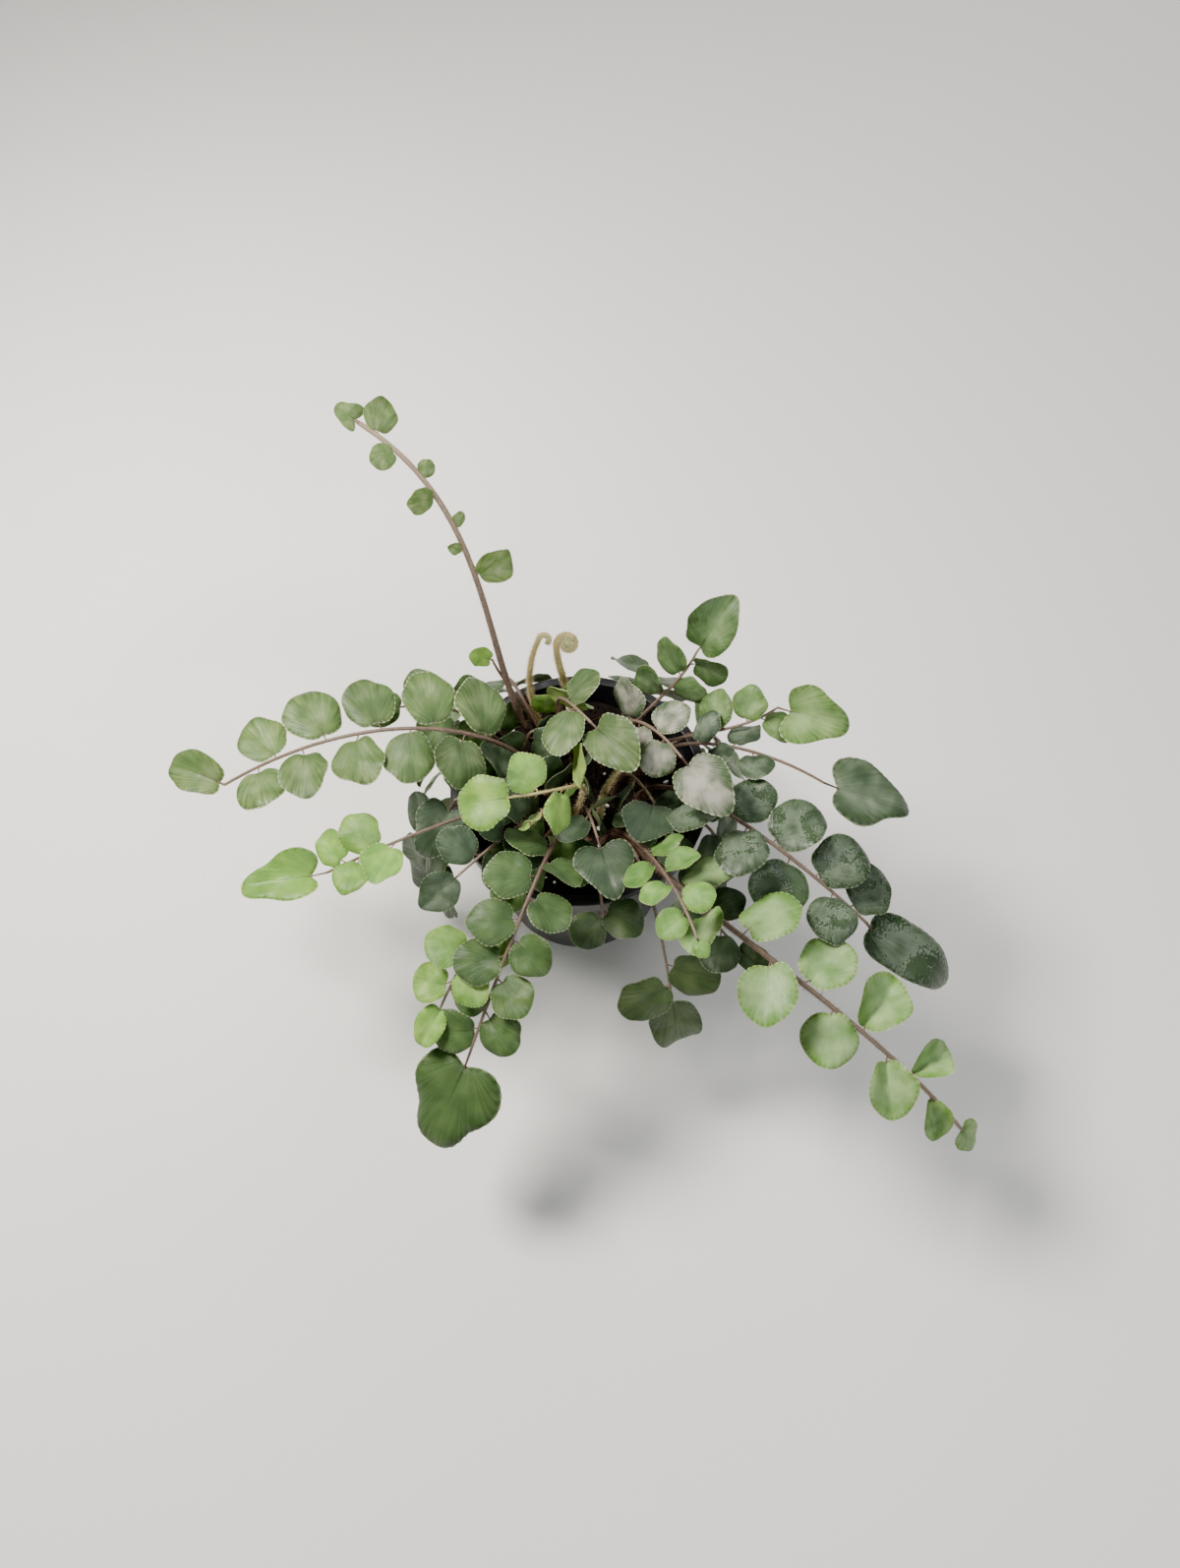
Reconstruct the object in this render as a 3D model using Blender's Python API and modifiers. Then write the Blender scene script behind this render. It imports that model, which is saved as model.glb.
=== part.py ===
"""Potted button fern: a black nursery pot filled with peat, with arching fronds of round leaflets.

Metres, +Z up, origin at the middle of the pot's base. Each frond is one solid: a thin stem that
stands in a hole in the peat and carries thin, lens-shaped leaflets with a scalloped edge.
"""

import math
import random
from dataclasses import dataclass
from enum import Enum

import bmesh
import bpy
from mathutils import Matrix, Vector
from mathutils.bvhtree import BVHTree
from mathutils.geometry import interpolate_bezier

MM = 0.001
TOUCHING_GAP = 0.3 * MM
WELD = 0.001 * MM

SHARP_ANGLE = math.radians(35)

# Pot
POT_HEIGHT = 82 * MM
POT_TOP_RADIUS = 47.5 * MM
POT_FOOT_RADIUS = 33 * MM
POT_WALL = 1.2 * MM
POT_FLOOR = 1.6 * MM
POT_SIDES = 48
RIM_DROP = 9 * MM
RIM_LIP = 2.6 * MM
RIM_ROUNDING = 0.8 * MM
DRAIN_HOLES = 6
DRAIN_RADIUS = 5 * MM
DRAIN_RING_RADIUS = 21 * MM
DRAIN_SIDES = 12

# Peat
SOIL_LEVEL = 72 * MM
HOLE_SIDES = 8

# Stems
STEM_DEPTH = 10 * MM
STEM_COLLAR = 2 * MM
STEM_BASE_RADIUS = 0.8 * MM
STEM_TIP_RADIUS = 0.45 * MM
STEM_POINT_SPACING = 13 * MM
COIL_STEPS = 12
COIL_TIGHTENING = 0.55
COIL_UP = Vector((0, 0.6, 0.8))

# Leaflets
RIM_POINTS = 20
BLADE_THICKNESS = 1.0 * MM
SCALLOP_DEPTH = 0.02
STALK_SHARE = 0.07
ROOT_DEPTH = 0.2 * MM
OBLONG_SLIMNESS = 0.73
TERMINAL_SINK = 0.4 * MM
SPREAD = {
    "size": (0.9, 1.1),
    "width": (0.92, 1.06),
    "dish": (-0.10, 0.14),
    "nod": (0.0, 0.16),
    "wave": (0.02, 0.06),
    "phase": (0, 2 * math.pi),
    "tilt": (-10, 10),
    "roll": (-8, 8),
    "forward": (-8, 8),
}
SEED = 11

# Room between leaflets
CLEARANCE = 0.5 * MM
STEM_MARGIN = 0.4 * MM
POT_MARGIN = 1 * MM
FLOOR_MARGIN = 1.5 * MM
TRIALS = [
    (tilt, roll, scale)
    for scale in (1.0, 0.9, 0.8, 0.7)
    for tilt in (0, -12, 12, -24, 24, -38, 38)
    for roll in (0, -14, 14, -28, 28)
]


def mm(*values):
    """The point whose coordinates are given in millimetres."""
    return Vector(values) * MM


class Tone(Enum):
    """The colour of a frond's solid."""

    DARK = ("leaf_dark", (0.030, 0.065, 0.035))
    SILVER = ("leaf_silver", (0.17, 0.22, 0.15))
    GREEN = ("leaf_green", (0.09, 0.17, 0.06))
    LIME = ("leaf_lime", (0.22, 0.34, 0.06))
    GOLD = ("crozier_gold", (0.36, 0.30, 0.11))


class Form(Enum):
    """The outline of a leaflet."""

    ROUND = "round"
    OBLONG = "oblong"
    HEART = "heart"
    LOBED = "lobed"


@dataclass(frozen=True)
class Frond:
    """One frond: the four handles of its stem's curve, and the rule that its leaflets follow.

    pairs leaflets stand on each side, pitch apart, counted back from the tip; gap is the distance from
    the tip to the first of them, and stagger the share of the pitch by which the left side lags. Angles
    are in degrees: forward leans the leaflets to the tip, skew more so on the right side than on the
    left, end_turn turns the last leaflet to the right, lift raises them all, and shingle rolls those on
    the sides like the slats of a blind. slimness is a blade's width as a share of its length. sizes,
    where given, holds each leaflet's share of the blade length, right and left in turn from the tip.
    faces, where given, is what the upper sides look towards. A young frond ends in a coil of this
    radius and number of turns.
    """

    name: str
    crown: Vector
    knee: Vector
    shoulder: Vector
    tip: Vector
    pairs: int = 0
    pitch: float = 12 * MM
    blade: float = 12 * MM
    end: Form = Form.ROUND
    end_blade: float = 0
    tone: Tone = Tone.GREEN
    gap: float = 9 * MM
    stagger: float = 0.5
    slimness: float = 0.96
    end_slimness: float = 0.96
    forward: float = 24
    skew: float = 0
    end_turn: float = 0
    sizes: tuple = ()
    lift: float = 10
    shingle: float = 12
    faces: tuple = (0, 0, 0)
    girth: float = 1.0
    coil: float = 0
    turns: float = 0


@dataclass
class Leaflet:
    """A leaflet: its outline, how its blade is bent, and where it stands."""

    form: Form
    length: float
    width: float
    dish: float
    nod: float
    wave: float
    phase: float
    place: Matrix

    def rim(self, turn):
        """The point (across, along) of the outline at a turn of 0 to 1 from the base."""
        angle = 2 * math.pi * turn
        from_tip = angle - math.pi
        reach = 1.0
        if self.form is Form.LOBED:
            reach += 0.15 * math.cos(3 * from_tip)
        elif self.form is Form.HEART:
            reach += 0.16 * math.exp(-((from_tip / 0.45) ** 2)) + 0.05 * math.cos(2 * from_tip)
        elif self.form is Form.ROUND:
            reach += 0.03 * math.cos(4 * from_tip)
        across = 0.5 * reach * math.sin(angle) * self.width
        along = self.middle() - 0.5 * reach * math.cos(angle) * self.length
        return across, along

    def middle(self):
        """How far the blade's middle lies from the root."""
        return STALK_SHARE * self.length + 0.5 * self.length

    def surface(self, across, along, turn, out):
        """The point of the bent blade over (across, along), out of 0 at the middle to 1 at the rim."""
        share = along / self.length
        side = across / (0.5 * self.width)
        height = self.dish * (side * side) - self.nod * share * share
        height += self.wave * out * out * share * math.sin(2 * math.pi * 3 * turn + self.phase)
        return Vector((across, along, height * self.length))

    def points(self, directions, half_middle, half_rim, grow):
        """The blade's points, one for each direction of a unit sphere's mesh.

        Poles become the blade's middle, half_middle above and below it, and the rest its rim, half_rim
        above and below, moved out by grow.
        """
        found = []
        for direction in directions:
            flat = math.hypot(direction.x, direction.y)
            if flat < 0.1:
                point = self.surface(0, self.middle(), 0, 0)
                point.z += math.copysign(half_middle, direction.z)
            else:
                turn = (math.atan2(direction.x, -direction.y) / (2 * math.pi)) % 1.0
                tooth = round(turn * RIM_POINTS)
                across, along = self.rim(turn)
                scallop = 1 + (grow / (0.5 * self.length)) + SCALLOP_DEPTH * (-1) ** tooth
                across *= scallop
                along = (along - self.middle()) * scallop + self.middle()
                if tooth % RIM_POINTS == 0:
                    across, along = 0, -ROOT_DEPTH
                point = self.surface(across, along, turn, 1)
                if half_rim:
                    point.z += math.copysign(half_rim, direction.z)
            found.append(self.place @ point)
        return found


def sphere_mesh(rings):
    """The directions and faces of a unit sphere with RIM_POINTS segments and the given rings."""
    mesh = bmesh.new()
    bmesh.ops.create_uvsphere(mesh, u_segments=RIM_POINTS, v_segments=rings, radius=1)
    directions = [vert.co.copy() for vert in mesh.verts]
    faces = [[vert.index for vert in face.verts] for face in mesh.faces]
    mesh.free()
    return directions, faces


PLATE_DIRECTIONS, PLATE_FACES = sphere_mesh(3)


FRONDS = (
    Frond(
        "frond_centre_top",
        crown=mm(-2, 12),
        knee=mm(-12, 20, 120),
        shoulder=mm(-8, 10, 132),
        tip=mm(4, -4, 132),
        tone=Tone.SILVER,
        pairs=1,
        pitch=12 * MM,
        blade=15.5 * MM,
        end=Form.HEART,
        end_blade=20 * MM,
        faces=(0, -0.5, 1),
        lift=4,
        shingle=-6,
    ),
    Frond(
        "frond_silver",
        crown=mm(6, 6),
        knee=mm(8, 8, 124),
        shoulder=mm(20, 2, 134),
        tip=mm(33, -17, 132),
        tone=Tone.SILVER,
        pairs=2,
        pitch=12 * MM,
        blade=13 * MM,
        end=Form.HEART,
        end_blade=20 * MM,
        faces=(0, -0.5, 1),
        lift=4,
        shingle=-6,
    ),
    Frond(
        "frond_light_left",
        crown=mm(-2, -8),
        knee=mm(6, -12, 116),
        shoulder=mm(0, -30, 134),
        tip=mm(-21, -28, 126),
        tone=Tone.LIME,
        pairs=2,
        pitch=15 * MM,
        blade=14 * MM,
        end=Form.ROUND,
        end_blade=19 * MM,
        faces=(0, -0.5, 1),
        lift=4,
        shingle=0,
    ),
    Frond(
        "frond_dark_front",
        crown=mm(0, -12),
        knee=mm(0, -16, 104),
        shoulder=mm(3, -26, 116),
        tip=mm(6, -36, 112),
        tone=Tone.DARK,
        pairs=1,
        pitch=12 * MM,
        blade=12 * MM,
        end=Form.LOBED,
        end_blade=20 * MM,
        faces=(0, -0.5, 1),
        lift=4,
        shingle=-6,
    ),
    Frond(
        "frond_dark_centre",
        crown=mm(12, -1),
        knee=mm(14, -4, 106),
        shoulder=mm(18, -14, 118),
        tip=mm(25, -23, 112),
        tone=Tone.DARK,
        pairs=1,
        pitch=12 * MM,
        gap=12 * MM,
        blade=12 * MM,
        end=Form.ROUND,
        end_blade=19 * MM,
        end_turn=48,
        lift=34,
        faces=(0, -0.5, 1),
        shingle=0,
    ),
    Frond(
        "frond_dark_upper_left",
        crown=mm(-17, -3),
        knee=mm(-20, -8, 108),
        shoulder=mm(-30, -18, 114),
        tip=mm(-42, -20, 108),
        tone=Tone.DARK,
        pairs=3,
        pitch=14 * MM,
        blade=15 * MM,
        end=Form.LOBED,
        end_blade=20 * MM,
        end_turn=-40,
        faces=(0, -0.5, 1),
        lift=4,
        shingle=0,
    ),
    Frond(
        "frond_dark_lower_left",
        crown=mm(-10, -14),
        knee=mm(-12, -18, 104),
        shoulder=mm(-24, -34, 112),
        tip=mm(-40, -46, 104),
        tone=Tone.DARK,
        pairs=3,
        pitch=12 * MM,
        blade=15 * MM,
        end=Form.ROUND,
        end_blade=15 * MM,
        faces=(0, -0.5, 1),
        lift=4,
        shingle=0,
    ),
    Frond(
        "frond_lime_top",
        crown=mm(-6, 17),
        knee=mm(-6, 20, 98),
        shoulder=mm(-8, 24, 112),
        tip=mm(-9, 18, 112),
        tone=Tone.LIME,
        pairs=1,
        pitch=10 * MM,
        gap=7 * MM,
        blade=10 * MM,
        end=Form.HEART,
        end_blade=17 * MM,
        end_turn=-50,
        faces=(0, -0.5, 1),
        lift=4,
        shingle=0,
    ),
    Frond(
        "frond_long_right",
        crown=mm(15, -10),
        knee=mm(18, -64, 138),
        shoulder=mm(80, -90, 120),
        tip=mm(126, -119, 64),
        tone=Tone.LIME,
        pairs=5,
        pitch=25 * MM,
        gap=19 * MM,
        sizes=(0.62, 0.85, 0.95, 1.0, 1.0, 1.0, 1.0, 1.0, 0.95, 0.9),
        shingle=26,
        stagger=0.45,
        blade=20 * MM,
        end=Form.LOBED,
        end_blade=12 * MM,
        skew=13,
        girth=1.45,
    ),
    Frond(
        "frond_long_left",
        crown=mm(-12, 0),
        knee=mm(-12, -6, 130),
        shoulder=mm(-62, 10, 132),
        tip=mm(-122, -12, 104),
        tone=Tone.SILVER,
        pairs=5,
        pitch=18.5 * MM,
        gap=22 * MM,
        stagger=-0.45,
        blade=20 * MM,
        end=Form.OBLONG,
        end_blade=23 * MM,
        end_turn=44,
        forward=9,
        skew=12,
        girth=1.15,
    ),
    Frond(
        "frond_tall_left",
        crown=mm(-8, 9),
        knee=mm(-37, 16, 118),
        shoulder=mm(-20, 46, 172),
        tip=mm(-66, 61, 199),
        tone=Tone.SILVER,
        pairs=4,
        pitch=18.5 * MM,
        gap=6 * MM,
        stagger=0.4,
        blade=11.5 * MM,
        sizes=(0.9, 0.8, 0.5, 0.9, 0.5, 0.45, 1.1, 0.0),
        end=Form.LOBED,
        end_blade=8 * MM,
        faces=(0.1, -0.4, 0.7),
        girth=1.75,
    ),
    Frond(
        "frond_right",
        crown=mm(21, -2),
        knee=mm(26, -14, 130),
        shoulder=mm(62, -45, 130),
        tip=mm(94, -61, 100),
        tone=Tone.DARK,
        pairs=4,
        pitch=17.5 * MM,
        gap=18 * MM,
        stagger=-0.54,
        blade=18 * MM,
        end=Form.HEART,
        end_blade=36 * MM,
        end_turn=-8,
        end_slimness=0.62,
        girth=1.2,
    ),
    Frond(
        "frond_right_upper",
        crown=mm(19, 3),
        knee=mm(22, 4, 122),
        shoulder=mm(58, -6, 124),
        tip=mm(82, -16, 113),
        tone=Tone.DARK,
        pairs=2,
        pitch=14 * MM,
        gap=26 * MM,
        blade=13 * MM,
        end=Form.LOBED,
        end_blade=28 * MM,
        end_turn=-14,
    ),
    Frond(
        "frond_right_top",
        crown=mm(15, 9),
        knee=mm(22, 8, 110),
        shoulder=mm(50, -4, 118),
        tip=mm(67, 8, 122),
        pairs=2,
        pitch=12 * MM,
        gap=6 * MM,
        blade=13 * MM,
        end=Form.LOBED,
        end_blade=22 * MM,
        end_turn=44,
        faces=(0, -0.5, 1),
        lift=4,
        shingle=0,
    ),
    Frond(
        "frond_back_top",
        crown=mm(10, 14),
        knee=mm(16, 16, 100),
        shoulder=mm(34, 18, 116),
        tip=mm(40, 27, 127),
        pairs=2,
        pitch=11 * MM,
        gap=5 * MM,
        blade=13.5 * MM,
        end=Form.HEART,
        end_blade=20 * MM,
        faces=(0, -0.5, 1),
        lift=4,
    ),
    Frond(
        "frond_front_left",
        crown=mm(-4, -17),
        knee=mm(-4, -26, 122),
        shoulder=mm(-18, -66, 122),
        tip=mm(-36, -97, 76),
        pairs=6,
        pitch=14 * MM,
        blade=16 * MM,
        end=Form.LOBED,
        end_blade=32 * MM,
        girth=1.15,
    ),
    Frond(
        "frond_front_right",
        crown=mm(8, -19),
        knee=mm(18, -26, 112),
        shoulder=mm(25, -58, 114),
        tip=mm(32, -76, 66),
        tone=Tone.DARK,
        pairs=1,
        pitch=16 * MM,
        gap=9 * MM,
        blade=18 * MM,
        end=Form.HEART,
        end_blade=27 * MM,
        end_slimness=0.8,
        faces=(0, -0.7, 0.8),
    ),
    Frond(
        "frond_front_pair",
        crown=mm(2, -20),
        knee=mm(2, -26, 100),
        shoulder=mm(7, -44, 104),
        tip=mm(8, -56, 92),
        tone=Tone.DARK,
        pairs=1,
        pitch=12 * MM,
        gap=1.5 * MM,
        stagger=0.1,
        blade=13.5 * MM,
        forward=34,
        end=Form.ROUND,
        end_blade=0,
    ),
    Frond(
        "frond_low_left",
        crown=mm(-15, -9),
        knee=mm(-16, -16, 112),
        shoulder=mm(-52, -38, 122),
        tip=mm(-86, -40, 93),
        tone=Tone.LIME,
        pairs=2,
        pitch=13 * MM,
        blade=14 * MM,
        end=Form.LOBED,
        end_blade=27 * MM,
        end_slimness=0.6,
        lift=30,
    ),
    Frond(
        "frond_young_right",
        crown=mm(12, -15),
        knee=mm(15, -30, 106),
        shoulder=mm(27, -54, 138),
        tip=mm(35, -80, 136),
        tone=Tone.LIME,
        pairs=3,
        pitch=14 * MM,
        blade=11 * MM,
        end=Form.ROUND,
        end_blade=6 * MM,
        faces=(0, -0.5, 1),
        lift=4,
        shingle=-6,
    ),
    Frond(
        "frond_under_right",
        crown=mm(14, -20),
        knee=mm(16, -28, 98),
        shoulder=mm(34, -50, 104),
        tip=mm(52, -64, 88),
        tone=Tone.DARK,
        pairs=2,
        pitch=15 * MM,
        gap=7 * MM,
        blade=14 * MM,
        end=Form.OBLONG,
        end_blade=15 * MM,
    ),
    Frond(
        "frond_upper_left",
        crown=mm(-14, 5),
        knee=mm(-20, 10, 100),
        shoulder=mm(-42, 18, 112),
        tip=mm(-62, 17, 108),
        pairs=3,
        pitch=15 * MM,
        gap=9 * MM,
        blade=14 * MM,
        end=Form.ROUND,
        end_blade=16 * MM,
        faces=(0, -0.5, 1),
        lift=4,
        shingle=0,
    ),
    Frond(
        "frond_lime_left",
        crown=mm(-7, -21),
        knee=mm(-10, -34, 110),
        shoulder=mm(-30, -62, 114),
        tip=mm(-45, -84, 86),
        tone=Tone.LIME,
        pairs=2,
        pitch=14 * MM,
        gap=8 * MM,
        blade=14 * MM,
        end=Form.OBLONG,
        end_blade=16 * MM,
    ),
    Frond(
        "frond_sprig",
        crown=mm(-14, 12),
        knee=mm(-14, 20, 98),
        shoulder=mm(-26, 22, 112),
        tip=mm(-30, 26, 124),
        tone=Tone.LIME,
        end=Form.OBLONG,
        end_blade=10 * MM,
        end_turn=-30,
        faces=(0, -0.5, 0.8),
    ),
    Frond(
        "crozier_tall",
        crown=mm(-1, 24),
        knee=mm(-3, 31, 96),
        shoulder=mm(-8.4, 30, 112),
        tip=mm(-8.2, 34.6, 121),
        tone=Tone.GOLD,
        girth=1.6,
        coil=3.9 * MM,
        turns=1.4,
    ),
    Frond(
        "crozier_arched",
        crown=mm(-12, 22),
        knee=mm(-22, 32, 96),
        shoulder=mm(-18, 34, 112),
        tip=mm(-14.5, 36.3, 121),
        tone=Tone.GOLD,
        girth=1.45,
        coil=2.3 * MM,
        turns=0.7,
    ),
    Frond(
        "crozier_low",
        crown=mm(7, -10),
        knee=mm(8, -14, 98),
        shoulder=mm(7, -21, 116),
        tip=mm(14, -14, 120),
        tone=Tone.GOLD,
        girth=1.2,
        coil=1.8 * MM,
        turns=0.75,
    ),
    Frond(
        "frond_tiny",
        crown=mm(-9, -8),
        knee=mm(-11, -14, 100),
        shoulder=mm(-16, -34, 112),
        tip=mm(-16, -34, 120),
        tone=Tone.LIME,
        pairs=1,
        pitch=4 * MM,
        gap=2.5 * MM,
        stagger=0.3,
        blade=4.5 * MM,
        end=Form.ROUND,
        end_blade=5 * MM,
        faces=(0, -0.5, 0.8),
    ),
    Frond(
        "frond_inner_back",
        crown=mm(3, 18),
        knee=mm(5, 15, 90),
        shoulder=mm(10, 8, 98),
        tip=mm(13, 1, 94),
        tone=Tone.DARK,
        pairs=2,
        pitch=12 * MM,
        gap=6 * MM,
        blade=13 * MM,
        end=Form.ROUND,
        end_blade=13 * MM,
        faces=(0, -0.5, 1),
        lift=4,
        shingle=-6,
    ),
    Frond(
        "frond_inner_front",
        crown=mm(7, -5),
        knee=mm(6, -8, 86),
        shoulder=mm(4, -14, 94),
        tip=mm(1, -23, 90),
        tone=Tone.DARK,
        pairs=2,
        pitch=11 * MM,
        gap=6 * MM,
        blade=13 * MM,
        end=Form.ROUND,
        end_blade=13 * MM,
        faces=(0, -0.5, 1),
        lift=4,
        shingle=-6,
    ),
    Frond(
        "frond_inner_left",
        crown=mm(-5, -5),
        knee=mm(-8, -7, 88),
        shoulder=mm(-16, -9, 97),
        tip=mm(-25, -12, 95),
        tone=Tone.DARK,
        pairs=2,
        pitch=12 * MM,
        gap=6 * MM,
        blade=13 * MM,
        end=Form.ROUND,
        end_blade=13 * MM,
        faces=(0, -0.5, 1),
        lift=4,
        shingle=0,
    ),
    Frond(
        "frond_inner_right",
        crown=mm(17, -6),
        knee=mm(20, -10, 86),
        shoulder=mm(26, -16, 94),
        tip=mm(30, -26, 92),
        tone=Tone.DARK,
        pairs=2,
        pitch=12 * MM,
        gap=6 * MM,
        blade=13 * MM,
        end=Form.ROUND,
        end_blade=13 * MM,
        faces=(0, -0.5, 1),
        lift=4,
        shingle=-6,
    ),
    Frond(
        "frond_inner_top",
        crown=mm(-20, 2),
        knee=mm(-22, 6, 90),
        shoulder=mm(-20, 12, 102),
        tip=mm(-15, 12, 100),
        tone=Tone.DARK,
        pairs=1,
        pitch=10 * MM,
        gap=5 * MM,
        blade=14 * MM,
        end=Form.ROUND,
        end_blade=14 * MM,
        faces=(0, -0.5, 1),
        lift=4,
        shingle=0,
    ),
    Frond(
        "frond_inner_low",
        crown=mm(-5, -12),
        knee=mm(-8, -18, 88),
        shoulder=mm(-14, -32, 102),
        tip=mm(-20, -43, 97),
        tone=Tone.GREEN,
        pairs=2,
        pitch=12 * MM,
        gap=6 * MM,
        blade=14 * MM,
        end=Form.ROUND,
        end_blade=14 * MM,
        faces=(0, -0.5, 1),
        lift=4,
        shingle=0,
    ),
    Frond(
        "frond_back_left",
        crown=mm(-10, 15),
        knee=mm(-26, 32, 116),
        shoulder=mm(-34, 52, 92),
        tip=mm(-22, 52, 26),
        tone=Tone.DARK,
        pairs=4,
        pitch=15 * MM,
        blade=17 * MM,
        end=Form.LOBED,
        end_blade=19 * MM,
    ),
    Frond(
        "frond_back_right",
        crown=mm(10, 19),
        knee=mm(24, 32, 116),
        shoulder=mm(34, 52, 92),
        tip=mm(20, 53, 28),
        tone=Tone.DARK,
        pairs=4,
        pitch=16 * MM,
        blade=17 * MM,
        end=Form.HEART,
        end_blade=20 * MM,
    ),
    Frond(
        "frond_skirt_left",
        crown=mm(-18, 9),
        knee=mm(-38, 18, 112),
        shoulder=mm(-60, 26, 92),
        tip=mm(-54, 26, 28),
        pairs=4,
        pitch=15 * MM,
        blade=16 * MM,
        end=Form.LOBED,
        end_blade=18 * MM,
    ),
    Frond(
        "frond_skirt_low_left",
        crown=mm(-22, -6),
        knee=mm(-40, -12, 106),
        shoulder=mm(-62, -16, 92),
        tip=mm(-55, -20, 28),
        tone=Tone.DARK,
        pairs=4,
        pitch=15 * MM,
        blade=16 * MM,
        end=Form.ROUND,
        end_blade=16 * MM,
    ),
    Frond(
        "frond_skirt_right",
        crown=mm(22, 8),
        knee=mm(40, 16, 108),
        shoulder=mm(60, 22, 92),
        tip=mm(53, 24, 28),
        pairs=4,
        pitch=15 * MM,
        blade=16 * MM,
        end=Form.HEART,
        end_blade=18 * MM,
    ),
    Frond(
        "frond_skirt_low_right",
        crown=mm(22, -12),
        knee=mm(38, -16, 102),
        shoulder=mm(58, -22, 90),
        tip=mm(52, -24, 30),
        tone=Tone.DARK,
        pairs=4,
        pitch=15 * MM,
        blade=15 * MM,
        end=Form.ROUND,
        end_blade=16 * MM,
    ),
)


def stem_curve(frond):
    """The points of the frond's stem, from the foot of its hole to its tip."""
    foot = Vector((frond.crown.x, frond.crown.y, SOIL_LEVEL - STEM_DEPTH))
    collar = Vector((frond.crown.x, frond.crown.y, SOIL_LEVEL + STEM_COLLAR))
    handles = (collar, frond.knee, frond.shoulder, frond.tip)
    steps = max(5, round(curve_length(handles) / STEM_POINT_SPACING))
    return [foot] + list(interpolate_bezier(*handles, steps + 1)) + coil_points(frond)


def coil_points(frond):
    """The points of a young frond's rolled-up end, which starts at the tip and winds inwards to the right."""
    centre = frond.tip + Vector((frond.coil, 0, 0))
    steps = round(COIL_STEPS * frond.turns)
    found = []
    for step in range(1, steps + 1):
        angle = math.pi - 2 * math.pi * step / COIL_STEPS
        radius = frond.coil * (1 - COIL_TIGHTENING * step / COIL_STEPS)
        found.append(centre + radius * (math.cos(angle) * Vector((1, 0, 0)) + math.sin(angle) * COIL_UP))
    return found


def along_curve(points, distance):
    """The point and the direction at a distance along a line of points."""
    for start, end in zip(points, points[1:]):
        step = (end - start).length
        if distance <= step:
            return start.lerp(end, distance / step), (end - start) / step
        distance -= step
    return points[-1].copy(), (points[-1] - points[-2]).normalized()


def curve_length(points):
    """The length of a line of points."""
    return sum((end - start).length for start, end in zip(points, points[1:]))


def lamina_frame(frond, direction):
    """The sideways and the upward direction of the leafy plane where the stem runs along direction."""
    wanted = Vector(frond.faces)
    if not wanted.length:
        outward = Vector((frond.tip.x - frond.crown.x, frond.tip.y - frond.crown.y, 0)).normalized()
        wanted = Vector((0, 0, 1)) + 0.4 * outward
    upward = (wanted - wanted.dot(direction) * direction).normalized()
    return direction.cross(upward), upward


@dataclass(frozen=True)
class Bud:
    """A leaflet that has no final stance yet: its size, its root and how it grows.

    hand is 1 on the right side and at the end of a frond, and -1 on the left. tilt and roll, in
    degrees, are what the frond's own rule and the draw give it.
    """

    form: Form
    length: float
    slimness: float
    root: Vector
    growth: Vector
    upward: Vector
    hand: int
    tilt: float
    roll: float
    drawn: dict

    def leaflet(self, tilt, roll, scale):
        """The leaflet with this much more tilt and roll, in degrees, at a share of its length."""
        across = self.growth.cross(self.upward).normalized()
        place = Matrix((across, self.growth, across.cross(self.growth))).transposed()
        place = place @ Matrix.Rotation(math.radians(self.tilt + tilt), 3, "X")
        place = place @ Matrix.Rotation(math.radians(self.hand * (self.roll + roll)), 3, "Y")
        return Leaflet(
            form=self.form,
            length=self.length * scale,
            width=self.length * scale * self.slimness * self.drawn["width"],
            dish=self.drawn["dish"],
            nod=self.drawn["nod"],
            wave=self.drawn["wave"],
            phase=self.drawn["phase"],
            place=Matrix.Translation(self.root) @ place.to_4x4(),
        )


def draws(chance):
    """The random part of one leaflet's shape and stance."""
    return {name: chance.uniform(*limits) for name, limits in SPREAD.items()}


def terminal_bud(frond, stem, drawn):
    """The bud at the end of the stem."""
    root, direction = along_curve(stem, curve_length(stem))
    sideways, upward = lamina_frame(frond, direction)
    turn = math.radians(frond.end_turn)
    growth = math.cos(turn) * direction + math.sin(turn) * sideways
    return Bud(
        form=frond.end,
        length=frond.end_blade,
        slimness=frond.end_slimness * (OBLONG_SLIMNESS if frond.end is Form.OBLONG else 1),
        root=root - TERMINAL_SINK * growth,
        growth=growth,
        upward=upward,
        hand=1,
        tilt=frond.lift + drawn["tilt"],
        roll=drawn["roll"],
        drawn=drawn,
    )


def side_bud(frond, stem, index, hand, share, drawn):
    """The bud of a pair on the right, hand 1, or on the left, hand -1."""
    back = frond.gap + frond.pitch * (index + (frond.stagger if hand < 0 else 0))
    root, direction = along_curve(stem, curve_length(stem) - back)
    sideways, upward = lamina_frame(frond, direction)
    angle = math.radians(frond.forward + hand * frond.skew + drawn["forward"])
    return Bud(
        form=Form.ROUND,
        length=frond.blade * drawn["size"] * share,
        slimness=frond.slimness,
        root=root,
        growth=hand * math.cos(angle) * sideways + math.sin(angle) * direction,
        upward=upward,
        hand=hand,
        tilt=frond.lift + drawn["tilt"],
        roll=frond.shingle + drawn["roll"],
        drawn=drawn,
    )


def buds(frond, stem, chance):
    """The buds of a frond, the last one first and then pair by pair back from the tip."""
    found = []
    drawn = draws(chance)
    if frond.end_blade:
        found.append(terminal_bud(frond, stem, drawn))
    for index in range(frond.pairs):
        for hand in (1, -1):
            share = frond.sizes[2 * index + (hand < 0)] if frond.sizes else 1.0
            if share:
                found.append(side_bud(frond, stem, index, hand, share, draws(chance)))
    return found


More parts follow.
